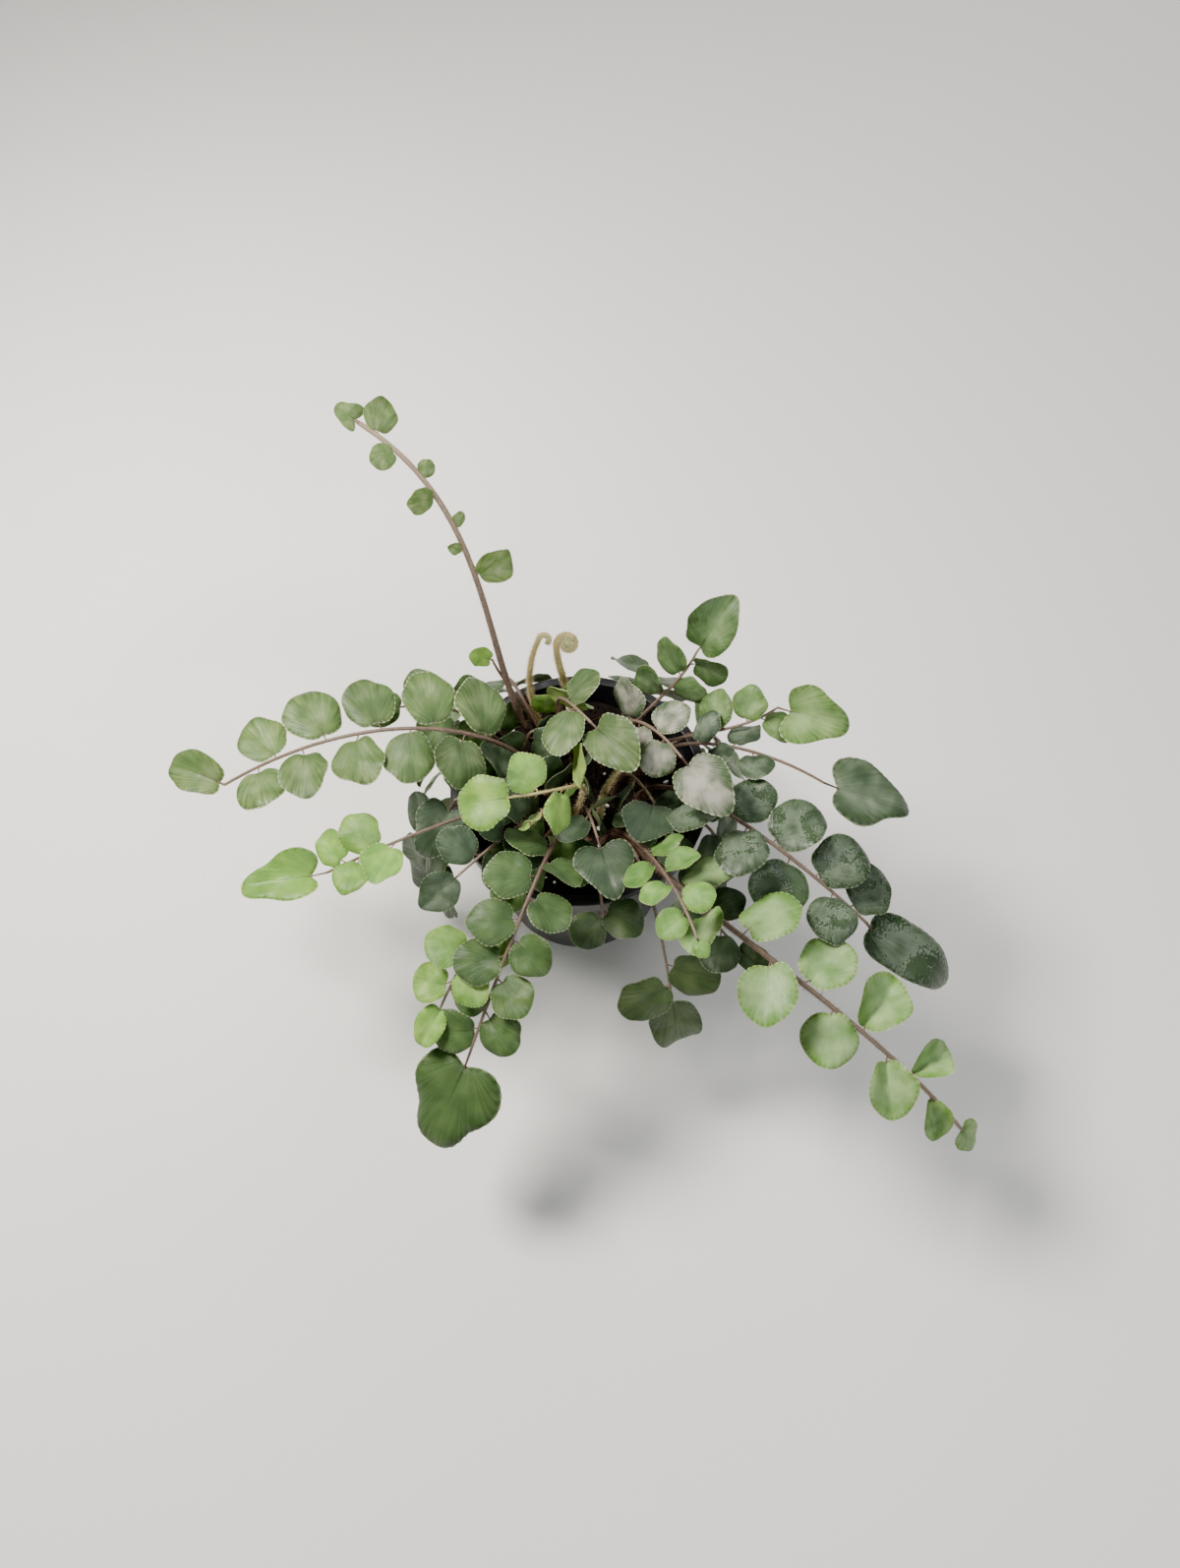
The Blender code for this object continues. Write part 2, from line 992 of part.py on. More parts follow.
class Clearance:
    """Everything that has its place already, against which a new leaflet is tested."""

    def __init__(self):
        self.placed = []

    def add(self, owner, tree, middle, reach):
        """Keeps a solid, whose points lie within reach of its middle."""
        self.placed.append((owner, tree, middle, reach))

    def blocks(self, tree, middle, reach, own_stem):
        """Whether the tested solid crosses a kept one, other than its own stem."""
        for owner, other, centre, radius in self.placed:
            if owner == own_stem or (centre - middle).length > reach + radius:
                continue
            if tree.overlap(other):
                return True
        return False


def tube_tree(points, radius):
    """A test solid round a line of points."""
    mesh = bmesh.new()
    rings = []
    for index, point in enumerate(points):
        direction = (points[min(index + 1, len(points) - 1)] - points[max(index - 1, 0)]).normalized()
        turn = direction.to_track_quat("Z", "X").to_matrix().to_4x4()
        ring = bmesh.ops.create_circle(
            mesh, segments=6, radius=radius, matrix=Matrix.Translation(point) @ turn
        )["verts"]
        rings.append(ring)
    for low, high in zip(rings, rings[1:]):
        for corner in range(6):
            after = (corner + 1) % 6
            mesh.faces.new((low[corner], low[after], high[after], high[corner]))
    tree = BVHTree.FromBMesh(mesh)
    mesh.free()
    return tree


def standing(fronds, stems):
    """The pot and every stem, which no leaflet may cross."""
    clearance = Clearance()
    pot = bmesh.new()
    bmesh.ops.create_cone(
        pot,
        cap_ends=True,
        segments=POT_SIDES,
        radius1=POT_FOOT_RADIUS + POT_MARGIN,
        radius2=POT_TOP_RADIUS + POT_MARGIN,
        depth=POT_HEIGHT + POT_MARGIN,
        matrix=Matrix.Translation((0, 0, 0.5 * POT_HEIGHT)),
    )
    middle = Vector((0, 0, 0.5 * POT_HEIGHT))
    clearance.add("pot", BVHTree.FromBMesh(pot), middle, math.hypot(POT_TOP_RADIUS, POT_HEIGHT))
    pot.free()
    for frond in fronds:
        stem = stems[frond.name]
        middle = sum(stem, Vector()) / len(stem)
        reach = max((point - middle).length for point in stem)
        clearance.add(frond.name, tube_tree(stem, STEM_BASE_RADIUS + STEM_MARGIN), middle, reach)
    return clearance


def settle(bud, owner, clearance):
    """The leaflet of the first trial that crosses nothing, which is then kept, or None."""
    for tilt, roll, scale in TRIALS:
        leaflet = bud.leaflet(tilt, roll, scale)
        half_middle = 0.5 * (BLADE_THICKNESS + CLEARANCE)
        points = leaflet.points(PLATE_DIRECTIONS, half_middle, 0.5 * CLEARANCE, 0.5 * CLEARANCE)
        if min(point.z for point in points) < FLOOR_MARGIN:
            continue
        middle = leaflet.place @ Vector((0, leaflet.middle(), 0))
        reach = max((point - middle).length for point in points)
        tree = BVHTree.FromPolygons(points, PLATE_FACES)
        if not clearance.blocks(tree, middle, reach, owner):
            clearance.add("", tree, middle, reach)
            return leaflet
    return None


def lay_out(fronds):
    """Gives each frond's name its stem's points and its leaflets, clear of all that stands already."""
    stems = {frond.name: stem_curve(frond) for frond in fronds}
    clearance = standing(fronds, stems)
    laid = {}
    for frond in fronds:
        stem = stems[frond.name]
        chance = random.Random(f"{frond.name} {SEED}")
        settled = [settle(bud, frond.name, clearance) for bud in buds(frond, stem, chance)]
        laid[frond.name] = (stem, [leaflet for leaflet in settled if leaflet])
    return laid


def new_object(name, mesh, collection, material=None):
    """Links a new object with this mesh."""
    thing = bpy.data.objects.new(name, mesh)
    if material:
        thing.data.materials.append(material)
    collection.objects.link(thing)
    return thing


def paint(name, colour, roughness):
    """A plain material with this colour and roughness."""
    material = bpy.data.materials.new(name)
    material.use_nodes = True
    shader = material.node_tree.nodes["Principled BSDF"]
    shader.inputs["Base Color"].default_value = (*colour, 1)
    shader.inputs["Roughness"].default_value = roughness
    return material


def freeze(thing):
    """Applies the object's modifiers, and shades it smooth except over its sharp edges."""
    graph = bpy.context.evaluated_depsgraph_get()
    mesh = bpy.data.meshes.new_from_object(thing.evaluated_get(graph))
    thing.modifiers.clear()
    thing.data = mesh
    mesh.shade_smooth()
    mesh.set_sharp_from_angle(angle=SHARP_ANGLE)


def cut(thing, cutters):
    """Cuts every object of a collection out of the object."""
    boolean = thing.modifiers.new("cut", "BOOLEAN")
    boolean.operation = "DIFFERENCE"
    boolean.operand_type = "COLLECTION"
    boolean.collection = cutters


def wall_radius(height):
    """The pot's outer radius at a height."""
    return POT_FOOT_RADIUS + (POT_TOP_RADIUS - RIM_LIP - POT_FOOT_RADIUS) * height / POT_HEIGHT


def build_pot(parts, cutters, material):
    """A turned, tapered pot with a band round its rim, a flat floor and a ring of drain holes."""
    inner_top = wall_radius(POT_HEIGHT) - POT_WALL
    band_foot = POT_HEIGHT - RIM_DROP
    outline = [
        (inner_top, POT_HEIGHT),
        (POT_TOP_RADIUS - RIM_ROUNDING, POT_HEIGHT),
        (POT_TOP_RADIUS, POT_HEIGHT - RIM_ROUNDING),
        (POT_TOP_RADIUS - RIM_ROUNDING, band_foot),
        (wall_radius(band_foot), band_foot - RIM_ROUNDING),
        (POT_FOOT_RADIUS, RIM_ROUNDING),
        (POT_FOOT_RADIUS - RIM_ROUNDING, 0),
        (0, 0),
    ]
    hollow = [(0, POT_FLOOR), (POT_FOOT_RADIUS - POT_WALL, POT_FLOOR), (inner_top, POT_HEIGHT)]
    mesh = bpy.data.meshes.new("pot")
    profile = bmesh.new()
    corners = [profile.verts.new((radius, 0, height)) for radius, height in outline + hollow[:-1]]
    for start, end in zip(corners, corners[1:] + corners[:1]):
        if start.co.x or end.co.x:
            profile.edges.new((start, end))
    profile.to_mesh(mesh)
    profile.free()
    pot = new_object("pot", mesh, parts, material)
    screw = pot.modifiers.new("turn", "SCREW")
    screw.steps = screw.render_steps = POT_SIDES
    screw.use_merge_vertices = True
    screw.merge_threshold = 0.01 * MM
    holes = bpy.data.collections.new("drain_cutters")
    cutters.children.link(holes)
    for number in range(DRAIN_HOLES):
        angle = 2 * math.pi * (number + 0.5) / DRAIN_HOLES
        centre = Vector((math.cos(angle), math.sin(angle), 0)) * DRAIN_RING_RADIUS
        add_cutter(f"drain_cutter_{number}", holes, centre, DRAIN_RADIUS, 4 * POT_FLOOR, DRAIN_SIDES)
    cut(pot, holes)
    freeze(pot)
    return pot


def add_cutter(name, collection, centre, radius, depth, sides):
    """A cylinder about centre that only cuts."""
    mesh = bpy.data.meshes.new(name)
    shape = bmesh.new()
    bmesh.ops.create_cone(
        shape,
        cap_ends=True,
        segments=sides,
        radius1=radius,
        radius2=radius,
        depth=depth,
        matrix=Matrix.Translation(centre),
    )
    shape.to_mesh(mesh)
    shape.free()
    cutter = new_object(name, mesh, collection)
    cutter.hide_render = True
    cutter.display_type = "WIRE"
    return cutter


def build_soil(parts, cutters, material):
    """The peat that fills the pot, with a plain hole for every stem."""
    foot = POT_FLOOR + TOUCHING_GAP
    inner = POT_WALL + TOUCHING_GAP
    outline = [
        (0, SOIL_LEVEL),
        (wall_radius(SOIL_LEVEL) - inner, SOIL_LEVEL),
        (wall_radius(foot) - inner, foot),
        (0, foot),
    ]
    mesh = bpy.data.meshes.new("soil")
    profile = bmesh.new()
    corners = [profile.verts.new((radius, 0, height)) for radius, height in outline]
    for start, end in zip(corners, corners[1:]):
        profile.edges.new((start, end))
    profile.to_mesh(mesh)
    profile.free()
    soil = new_object("soil", mesh, parts, material)
    screw = soil.modifiers.new("turn", "SCREW")
    screw.steps = screw.render_steps = POT_SIDES
    screw.use_merge_vertices = True
    screw.merge_threshold = 0.01 * MM
    holes = bpy.data.collections.new("stem_cutters")
    cutters.children.link(holes)
    depth = STEM_DEPTH + TOUCHING_GAP
    for frond in FRONDS:
        centre = Vector((frond.crown.x, frond.crown.y, SOIL_LEVEL))
        radius = (frond.girth * STEM_BASE_RADIUS + TOUCHING_GAP) / math.cos(math.pi / HOLE_SIDES)
        add_cutter(f"{frond.name}_cutter", holes, centre, radius, 2 * depth, HOLE_SIDES)
    cut(soil, holes)
    freeze(soil)
    return soil


def tube(name, points, radii, collection, material):
    """A four-sided rod along points, with closed ends, as a mesh object."""
    curve = bpy.data.curves.new(name, "CURVE")
    curve.dimensions = "3D"
    curve.bevel_depth = 1.0
    curve.bevel_resolution = 0
    curve.use_fill_caps = True
    spline = curve.splines.new("POLY")
    spline.points.add(len(points) - 1)
    for knot, point, radius in zip(spline.points, points, radii):
        knot.co = (*point, 1)
        knot.radius = radius
    guide = new_object(name + "_curve", curve, collection)
    bpy.context.view_layer.update()
    graph = bpy.context.evaluated_depsgraph_get()
    mesh = bpy.data.meshes.new_from_object(guide.evaluated_get(graph))
    bpy.data.objects.remove(guide)
    shape = bmesh.new()
    shape.from_mesh(mesh)
    bmesh.ops.remove_doubles(shape, verts=shape.verts, dist=WELD)
    bmesh.ops.recalc_face_normals(shape, faces=shape.faces)
    shape.to_mesh(mesh)
    shape.free()
    return new_object(name, mesh, collection, material)


def build_frond(frond, stem, leaflets, parts, material):
    """The frond's stem, with every leaflet fused to it."""
    taper = (STEM_TIP_RADIUS - STEM_BASE_RADIUS) / (len(stem) - 1)
    radii = [frond.girth * (STEM_BASE_RADIUS + taper * step) for step in range(len(stem))]
    thing = tube(frond.name, stem, radii, parts, material)
    blades = bpy.data.collections.new(frond.name + "_blades")
    bpy.context.scene.collection.children.link(blades)
    for number, leaflet in enumerate(leaflets):
        shape = bmesh.new()
        bmesh.ops.create_uvsphere(shape, u_segments=RIM_POINTS, v_segments=2, radius=1)
        directions = [vert.co.copy() for vert in shape.verts]
        for vert, point in zip(shape.verts, leaflet.points(directions, 0.5 * BLADE_THICKNESS, 0, 0)):
            vert.co = point
        bmesh.ops.recalc_face_normals(shape, faces=shape.faces)
        mesh = bpy.data.meshes.new(f"{frond.name}_blade_{number}")
        shape.to_mesh(mesh)
        shape.free()
        new_object(mesh.name, mesh, blades, material)
    if leaflets:
        join = thing.modifiers.new("join", "BOOLEAN")
        join.operation = "UNION"
        join.operand_type = "COLLECTION"
        join.collection = blades
        bpy.context.view_layer.update()
    freeze(thing)
    for blade in list(blades.objects):
        bpy.data.objects.remove(blade)
    bpy.data.collections.remove(blades)
    return thing


def main():
    """Builds the pot, the peat and the fronds."""
    for thing in list(bpy.data.objects):
        bpy.data.objects.remove(thing)
    parts = bpy.data.collections.new("potted_button_fern")
    cutters = bpy.data.collections.new("cutters")
    bpy.context.scene.collection.children.link(parts)
    bpy.context.scene.collection.children.link(cutters)
    tones = {tone: paint(tone.value[0], tone.value[1], 0.45) for tone in Tone}
    laid = lay_out(FRONDS)
    build_pot(parts, cutters, paint("black_plastic", (0.02, 0.02, 0.023), 0.4))
    build_soil(parts, cutters, paint("peat", (0.035, 0.022, 0.015), 0.95))
    for frond in FRONDS:
        build_frond(frond, *laid[frond.name], parts, tones[frond.tone])


if __name__ == "__main__":
    main()
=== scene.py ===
"""Looks of the potted button fern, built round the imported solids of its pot, peat and fronds.

Every frond is laid out by the same rule as its solid, so that each fine leaflet stands where the plain
one is. Metres, +Z up, origin at the middle of the pot's base.
"""

import logging
import math
import random
from collections.abc import Iterator
from dataclasses import dataclass, field
from enum import Enum
from functools import partial
from typing import Any

import bmesh
import bpy
from mathutils import Matrix, Vector, noise
from mathutils.bvhtree import BVHTree
from mathutils.geometry import interpolate_bezier


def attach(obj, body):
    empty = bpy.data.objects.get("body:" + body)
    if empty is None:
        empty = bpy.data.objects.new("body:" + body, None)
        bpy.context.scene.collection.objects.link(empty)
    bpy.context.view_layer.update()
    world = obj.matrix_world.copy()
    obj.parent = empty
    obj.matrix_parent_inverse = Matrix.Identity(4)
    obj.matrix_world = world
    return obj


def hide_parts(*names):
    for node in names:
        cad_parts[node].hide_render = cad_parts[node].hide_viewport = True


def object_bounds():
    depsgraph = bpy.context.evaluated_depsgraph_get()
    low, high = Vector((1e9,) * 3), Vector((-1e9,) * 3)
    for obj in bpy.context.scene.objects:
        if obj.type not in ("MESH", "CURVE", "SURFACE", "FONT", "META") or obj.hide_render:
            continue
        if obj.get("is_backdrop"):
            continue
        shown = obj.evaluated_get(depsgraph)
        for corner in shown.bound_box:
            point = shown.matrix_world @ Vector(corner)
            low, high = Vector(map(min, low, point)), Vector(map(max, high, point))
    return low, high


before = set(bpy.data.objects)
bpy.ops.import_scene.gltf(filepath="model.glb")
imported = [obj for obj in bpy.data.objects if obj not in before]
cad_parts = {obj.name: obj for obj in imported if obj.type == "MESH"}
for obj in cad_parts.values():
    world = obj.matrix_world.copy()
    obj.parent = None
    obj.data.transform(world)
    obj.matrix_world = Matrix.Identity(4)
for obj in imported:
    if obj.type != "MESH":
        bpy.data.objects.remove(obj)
CAD_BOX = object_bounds()

log = logging.getLogger("button_fern")

BODY = "root"

MM = 0.001
SEAM = 0.005 * MM
FULL_TURN = 2 * math.pi
UP = Vector((0, 0, 1))
SEED = 11

# The pot's outside and the peat's level, as in the solids
POT_HEIGHT = 82 * MM
POT_TOP_RADIUS = 47.5 * MM
POT_FOOT_RADIUS = 33 * MM
POT_WALL = 1.2 * MM
POT_FLOOR = 1.6 * MM
POT_SIDES = 48
RIM_LIP = 2.6 * MM
SOIL_LEVEL = 72 * MM
TOUCHING_GAP = 0.3 * MM

# The stems of the solids
STEM_DEPTH = 10 * MM
STEM_COLLAR = 2 * MM
STEM_BASE_RADIUS = 0.8 * MM
STEM_TIP_RADIUS = 0.45 * MM
STEM_POINT_SPACING = 13 * MM
COIL_STEPS = 12
COIL_TIGHTENING = 0.55
COIL_UP = Vector((0, 0.6, 0.8))

# The plain leaflets of the solids, which set where the fine ones stand
RIM_POINTS = 20
POLE_WIDTH = 0.1
BLADE_THICKNESS = 1.0 * MM
SCALLOP_DEPTH = 0.02
LOBE_REACH = 0.15
POINT_REACH = 0.16
POINT_WIDTH = 0.45
FLANK_REACH = 0.05
CORNER_REACH = 0.03
OUTWARD_LEAN = 0.4
STALK_SHARE = 0.07
ROOT_DEPTH = 0.2 * MM
OBLONG_SLIMNESS = 0.73
TERMINAL_SINK = 0.4 * MM
SPREAD = {
    "size": (0.9, 1.1),
    "width": (0.92, 1.06),
    "dish": (-0.10, 0.14),
    "nod": (0.0, 0.16),
    "wave": (0.02, 0.06),
    "phase": (0, FULL_TURN),
    "tilt": (-10, 10),
    "roll": (-8, 8),
    "forward": (-8, 8),
}
CLEARANCE = 0.5 * MM
STEM_MARGIN = 0.4 * MM
TUBE_SIDES = 6
POT_MARGIN = 1 * MM
FLOOR_MARGIN = 1.5 * MM
TRIALS = [
    (tilt, roll, scale)
    for scale in (1.0, 0.9, 0.8, 0.7)
    for tilt in (0, -12, 12, -24, 24, -38, 38)
    for roll in (0, -14, 14, -28, 28)
]


def mm(*values: float) -> Vector:
    """The point whose coordinates are given in millimetres."""
    return Vector(values) * MM


def linear(code: str) -> tuple[float, float, float, float]:
    """Turns a colour that is seen on a screen into the light that the shaders work with.

    Args:
        code: The colour as six sRGB hex digits.

    Returns:
        Linear red, green, blue and an alpha of 1.
    """
    shares = [int(code[start : start + 2], 16) / 255 for start in (0, 2, 4)]
    curved = [s / 12.92 if s <= 0.04045 else ((s + 0.055) / 1.055) ** 2.4 for s in shares]
    return (*curved, 1.0)


def curve_length(points: list[Vector]) -> float:
    """The length of a line of points."""
    return sum((end - start).length for start, end in zip(points, points[1:]))


def directions(points: list[Vector]) -> list[Vector]:
    """Which way a line of points runs at each of them."""
    last = len(points) - 1
    return [(points[min(i + 1, last)] - points[max(i - 1, 0)]).normalized() for i in range(last + 1)]


def along_curve(points: list[Vector], distance: float) -> tuple[Vector, Vector]:
    """Walks along a line of points.

    Args:
        points: The line's points.
        distance: How far to go from the first.

    Returns:
        The point there and the line's direction.
    """
    for start, end in zip(points, points[1:]):
        step = (end - start).length
        if distance <= step:
            return start.lerp(end, distance / step), (end - start) / step
        distance -= step
    return points[-1].copy(), (points[-1] - points[-2]).normalized()


class Tone(Enum):
    """The finish of a frond, by the slot that the record gives it."""

    DARK = "leaf_dark"
    SILVER = "leaf_silver"
    GREEN = "leaf_green"
    LIME = "leaf_lime"
    GOLD = "crozier_gold"


class Form(Enum):
    """The outline of a leaflet."""

    ROUND = "round"
    OBLONG = "oblong"
    HEART = "heart"
    LOBED = "lobed"


@dataclass(frozen=True)
class Frond:
    """One frond: the four handles of its stem's curve, and the rule that its leaflets follow.

    pairs leaflets stand on each side, pitch apart, counted back from the tip; gap is the distance from
    the tip to the first of them, and stagger the share of the pitch by which the left side lags. Angles
    are in degrees: forward leans the leaflets to the tip, skew more so on the right side than on the
    left, end_turn turns the last leaflet to the right, lift raises them all, and shingle rolls those on
    the sides like the slats of a blind. slimness is a blade's width as a share of its length. sizes,
    where given, holds each leaflet's share of the blade length, right and left in turn from the tip.
    faces, where given, is what the upper sides look towards. girth is the stem's thickness as a share
    of the usual one. A young frond ends in a coil of this radius and number of turns.
    """

    name: str
    crown: Vector
    knee: Vector
    shoulder: Vector
    tip: Vector
    pairs: int = 0
    pitch: float = 12 * MM
    blade: float = 12 * MM
    end: Form = Form.ROUND
    end_blade: float = 0
    tone: Tone = Tone.GREEN
    gap: float = 9 * MM
    stagger: float = 0.5
    slimness: float = 0.96
    end_slimness: float = 0.96
    forward: float = 24
    skew: float = 0
    end_turn: float = 0
    sizes: tuple[float, ...] = ()
    lift: float = 10
    shingle: float = 12
    faces: tuple[float, float, float] = (0, 0, 0)
    girth: float = 1.0
    coil: float = 0
    turns: float = 0

    def stem(self, fineness: int = 1) -> list[Vector]:
        """Follows the stem from the foot of its hole to its tip or through its coil.

        Args:
            fineness: How many steps stand for one of the solid's.

        Returns:
            The points, of which every fineness-th lies on the solid's own line.
        """
        foot = Vector((self.crown.x, self.crown.y, SOIL_LEVEL - STEM_DEPTH))
        collar = Vector((self.crown.x, self.crown.y, SOIL_LEVEL + STEM_COLLAR))
        handles = (collar, self.knee, self.shoulder, self.tip)
        steps = fineness * max(5, round(curve_length(handles) / STEM_POINT_SPACING))
        return [foot] + list(interpolate_bezier(*handles, steps + 1)) + self.coil_points(fineness)

    def coil_points(self, fineness: int) -> list[Vector]:
        """Winds the rolled-up end of a young frond, from its tip inwards to the right.

        Args:
            fineness: How many steps stand for one of the solid's.

        Returns:
            The coil's points, or none for a frond that has opened.
        """
        centre = self.tip + Vector((self.coil, 0, 0))
        found = []
        for step in range(1, round(COIL_STEPS * self.turns) * fineness + 1):
            share = step / (COIL_STEPS * fineness)
            angle = math.pi - FULL_TURN * share
            radius = self.coil * (1 - COIL_TIGHTENING * share)
            found.append(centre + radius * (math.cos(angle) * Vector((1, 0, 0)) + math.sin(angle) * COIL_UP))
        return found

    def radius(self, share: float) -> float:
        """The stem's radius at a share of its length."""
        return self.girth * (STEM_BASE_RADIUS + (STEM_TIP_RADIUS - STEM_BASE_RADIUS) * share)

    def lamina(self, direction: Vector) -> tuple[Vector, Vector]:
        """Turns the leafy plane about the stem.

        Args:
            direction: Where the stem runs.

        Returns:
            The sideways and the upward direction of the plane.
        """
        wanted = Vector(self.faces)
        if not wanted.length:
            outward = Vector((self.tip.x - self.crown.x, self.tip.y - self.crown.y, 0)).normalized()
            wanted = UP + OUTWARD_LEAN * outward
        upward = (wanted - wanted.dot(direction) * direction).normalized()
        return direction.cross(upward), upward


@dataclass
class Leaflet:
    """A leaflet: its outline, how its blade is bent, and where it stands."""

    form: Form
    length: float
    width: float
    dish: float
    nod: float
    wave: float
    phase: float
    place: Matrix

    @property
    def middle(self) -> float:
        """How far the blade's middle lies from the root."""
        return STALK_SHARE * self.length + 0.5 * self.length

    def rim(self, turn: float) -> tuple[float, float]:
        """Follows the smooth outline.

        Args:
            turn: 0 to 1, from the base round by the right side.

        Returns:
            How far the point lies across and along the blade.
        """
        angle = FULL_TURN * turn
        from_tip = angle - math.pi
        reach = 1.0
        if self.form is Form.LOBED:
            reach += LOBE_REACH * math.cos(3 * from_tip)
        elif self.form is Form.HEART:
            drawn_out = POINT_REACH * math.exp(-((from_tip / POINT_WIDTH) ** 2))
            reach += drawn_out + FLANK_REACH * math.cos(2 * from_tip)
        elif self.form is Form.ROUND:
            reach += CORNER_REACH * math.cos(4 * from_tip)
        across = 0.5 * reach * math.sin(angle) * self.width
        return across, self.middle - 0.5 * reach * math.cos(angle) * self.length

    def surface(self, across: float, along: float, turn: float, out: float) -> Vector:
        """Bends the blade.

        Args:
            across: The point's place across the blade.
            along: Its place along the blade.
            turn: Its turn about the middle.
            out: 0 at the middle to 1 at the rim.

        Returns:
            The point on the bent blade, in the leaflet's own axes.
        """
        share = along / self.length
        side = across / (0.5 * self.width)
        height = self.dish * (side * side) - self.nod * share * share
        height += self.wave * out * out * share * math.sin(FULL_TURN * 3 * turn + self.phase)
        return Vector((across, along, height * self.length))

    def plate(self, corners: list[Vector]) -> list[Vector]:
        """Swells the solid's plain blade by half the clearance that leaflets keep.

        Args:
            corners: The points of a unit ball's mesh.

        Returns:
            The plate's point for each of them.
        """
        found = []
        for corner in corners:
            if math.hypot(corner.x, corner.y) < POLE_WIDTH:
                point = self.surface(0, self.middle, 0, 0)
                point.z += math.copysign(0.5 * (BLADE_THICKNESS + CLEARANCE), corner.z)
            else:
                turn = (math.atan2(corner.x, -corner.y) / FULL_TURN) % 1.0
                tooth = round(turn * RIM_POINTS)
                across, along = self.rim(turn)
                scallop = 1 + (0.5 * CLEARANCE / (0.5 * self.length)) + SCALLOP_DEPTH * (-1) ** tooth
                across *= scallop
                along = (along - self.middle) * scallop + self.middle
                if tooth % RIM_POINTS == 0:
                    across, along = 0, -ROOT_DEPTH
                point = self.surface(across, along, turn, 1)
                point.z += math.copysign(0.5 * CLEARANCE, corner.z)
            found.append(self.place @ point)
        return found


@dataclass(frozen=True)
class Bud:
    """A leaflet that has no final stance yet: its size, its root and how it grows.

    hand is 1 on the right side and at the end of a frond, and -1 on the left. tilt and roll, in
    degrees, are what the frond's own rule and the draw give it.
    """

    form: Form
    length: float
    slimness: float
    root: Vector
    growth: Vector
    upward: Vector
    hand: int
    tilt: float
    roll: float
    drawn: dict[str, float]

    def leaflet(self, tilt: float, roll: float, scale: float) -> Leaflet:
        """Opens the bud.

        Args:
            tilt: Degrees of tilt beyond its own.
            roll: Degrees of roll beyond its own.
            scale: Its share of the full length.

        Returns:
            The leaflet.
        """
        across = self.growth.cross(self.upward).normalized()
        place = Matrix((across, self.growth, across.cross(self.growth))).transposed()
        place = place @ Matrix.Rotation(math.radians(self.tilt + tilt), 3, "X")
        place = place @ Matrix.Rotation(math.radians(self.hand * (self.roll + roll)), 3, "Y")
        return Leaflet(
            form=self.form,
            length=self.length * scale,
            width=self.length * scale * self.slimness * self.drawn["width"],
            dish=self.drawn["dish"],
            nod=self.drawn["nod"],
            wave=self.drawn["wave"],
            phase=self.drawn["phase"],
            place=Matrix.Translation(self.root) @ place.to_4x4(),
        )


@dataclass(frozen=True)
class Grower:
    """Grows the buds of one frond along the solid's stem, with draws seeded by the frond's name."""

    frond: Frond
    stem: list[Vector]

    @staticmethod
    def draws(chance: random.Random) -> dict[str, float]:
        """The random part of one leaflet's shape and stance."""
        return {name: chance.uniform(*limits) for name, limits in SPREAD.items()}

    def terminal(self, drawn: dict[str, float]) -> Bud:
        """Sets the bud at the end of the stem.

        Args:
            drawn: The draws of this leaflet.

        Returns:
            The bud.
        """
        frond = self.frond
        root, direction = along_curve(self.stem, curve_length(self.stem))
        sideways, upward = frond.lamina(direction)
        turn = math.radians(frond.end_turn)
        growth = math.cos(turn) * direction + math.sin(turn) * sideways
        return Bud(
            form=frond.end,
            length=frond.end_blade,
            slimness=frond.end_slimness * (OBLONG_SLIMNESS if frond.end is Form.OBLONG else 1),
            root=root - TERMINAL_SINK * growth,
            growth=growth,
            upward=upward,
            hand=1,
            tilt=frond.lift + drawn["tilt"],
            roll=drawn["roll"],
            drawn=drawn,
        )

    def side(self, index: int, hand: int, share: float, drawn: dict[str, float]) -> Bud:
        """Sets one bud of a pair.

        Args:
            index: The pair, counted back from the tip.
            hand: 1 on the right and -1 on the left.
            share: Its share of the frond's blade length.
            drawn: The draws of this leaflet.

        Returns:
            The bud.
        """
        frond = self.frond
        back = frond.gap + frond.pitch * (index + (frond.stagger if hand < 0 else 0))
        root, direction = along_curve(self.stem, curve_length(self.stem) - back)
        sideways, upward = frond.lamina(direction)
        angle = math.radians(frond.forward + hand * frond.skew + drawn["forward"])
        return Bud(
            form=Form.ROUND,
            length=frond.blade * drawn["size"] * share,
            slimness=frond.slimness,
            root=root,
            growth=hand * math.cos(angle) * sideways + math.sin(angle) * direction,
            upward=upward,
            hand=hand,
            tilt=frond.lift + drawn["tilt"],
            roll=frond.shingle + drawn["roll"],
            drawn=drawn,
        )

    def buds(self) -> Iterator[Bud]:
        """Sets every bud of the frond.

        Yields:
            The last bud first, and then pair by pair back from the tip.
        """
        chance = random.Random(f"{self.frond.name} {SEED}")
        drawn = self.draws(chance)
        if self.frond.end_blade:
            yield self.terminal(drawn)
        for index in range(self.frond.pairs):
            for hand in (1, -1):
                share = self.frond.sizes[2 * index + (hand < 0)] if self.frond.sizes else 1.0
                if share:
                    yield self.side(index, hand, share, self.draws(chance))


def put_in_order(shape: bmesh.types.BMesh) -> None:
    """Numbers the edges and faces by their corners, so that every run gives the same mesh.

    Args:
        shape: The shape.
    """
    shape.verts.index_update()
    for elements in (shape.edges, shape.faces):
        ranked = sorted(elements, key=lambda element: sorted(vert.index for vert in element.verts))
        for number, element in enumerate(ranked):
            element.index = number
        elements.sort()


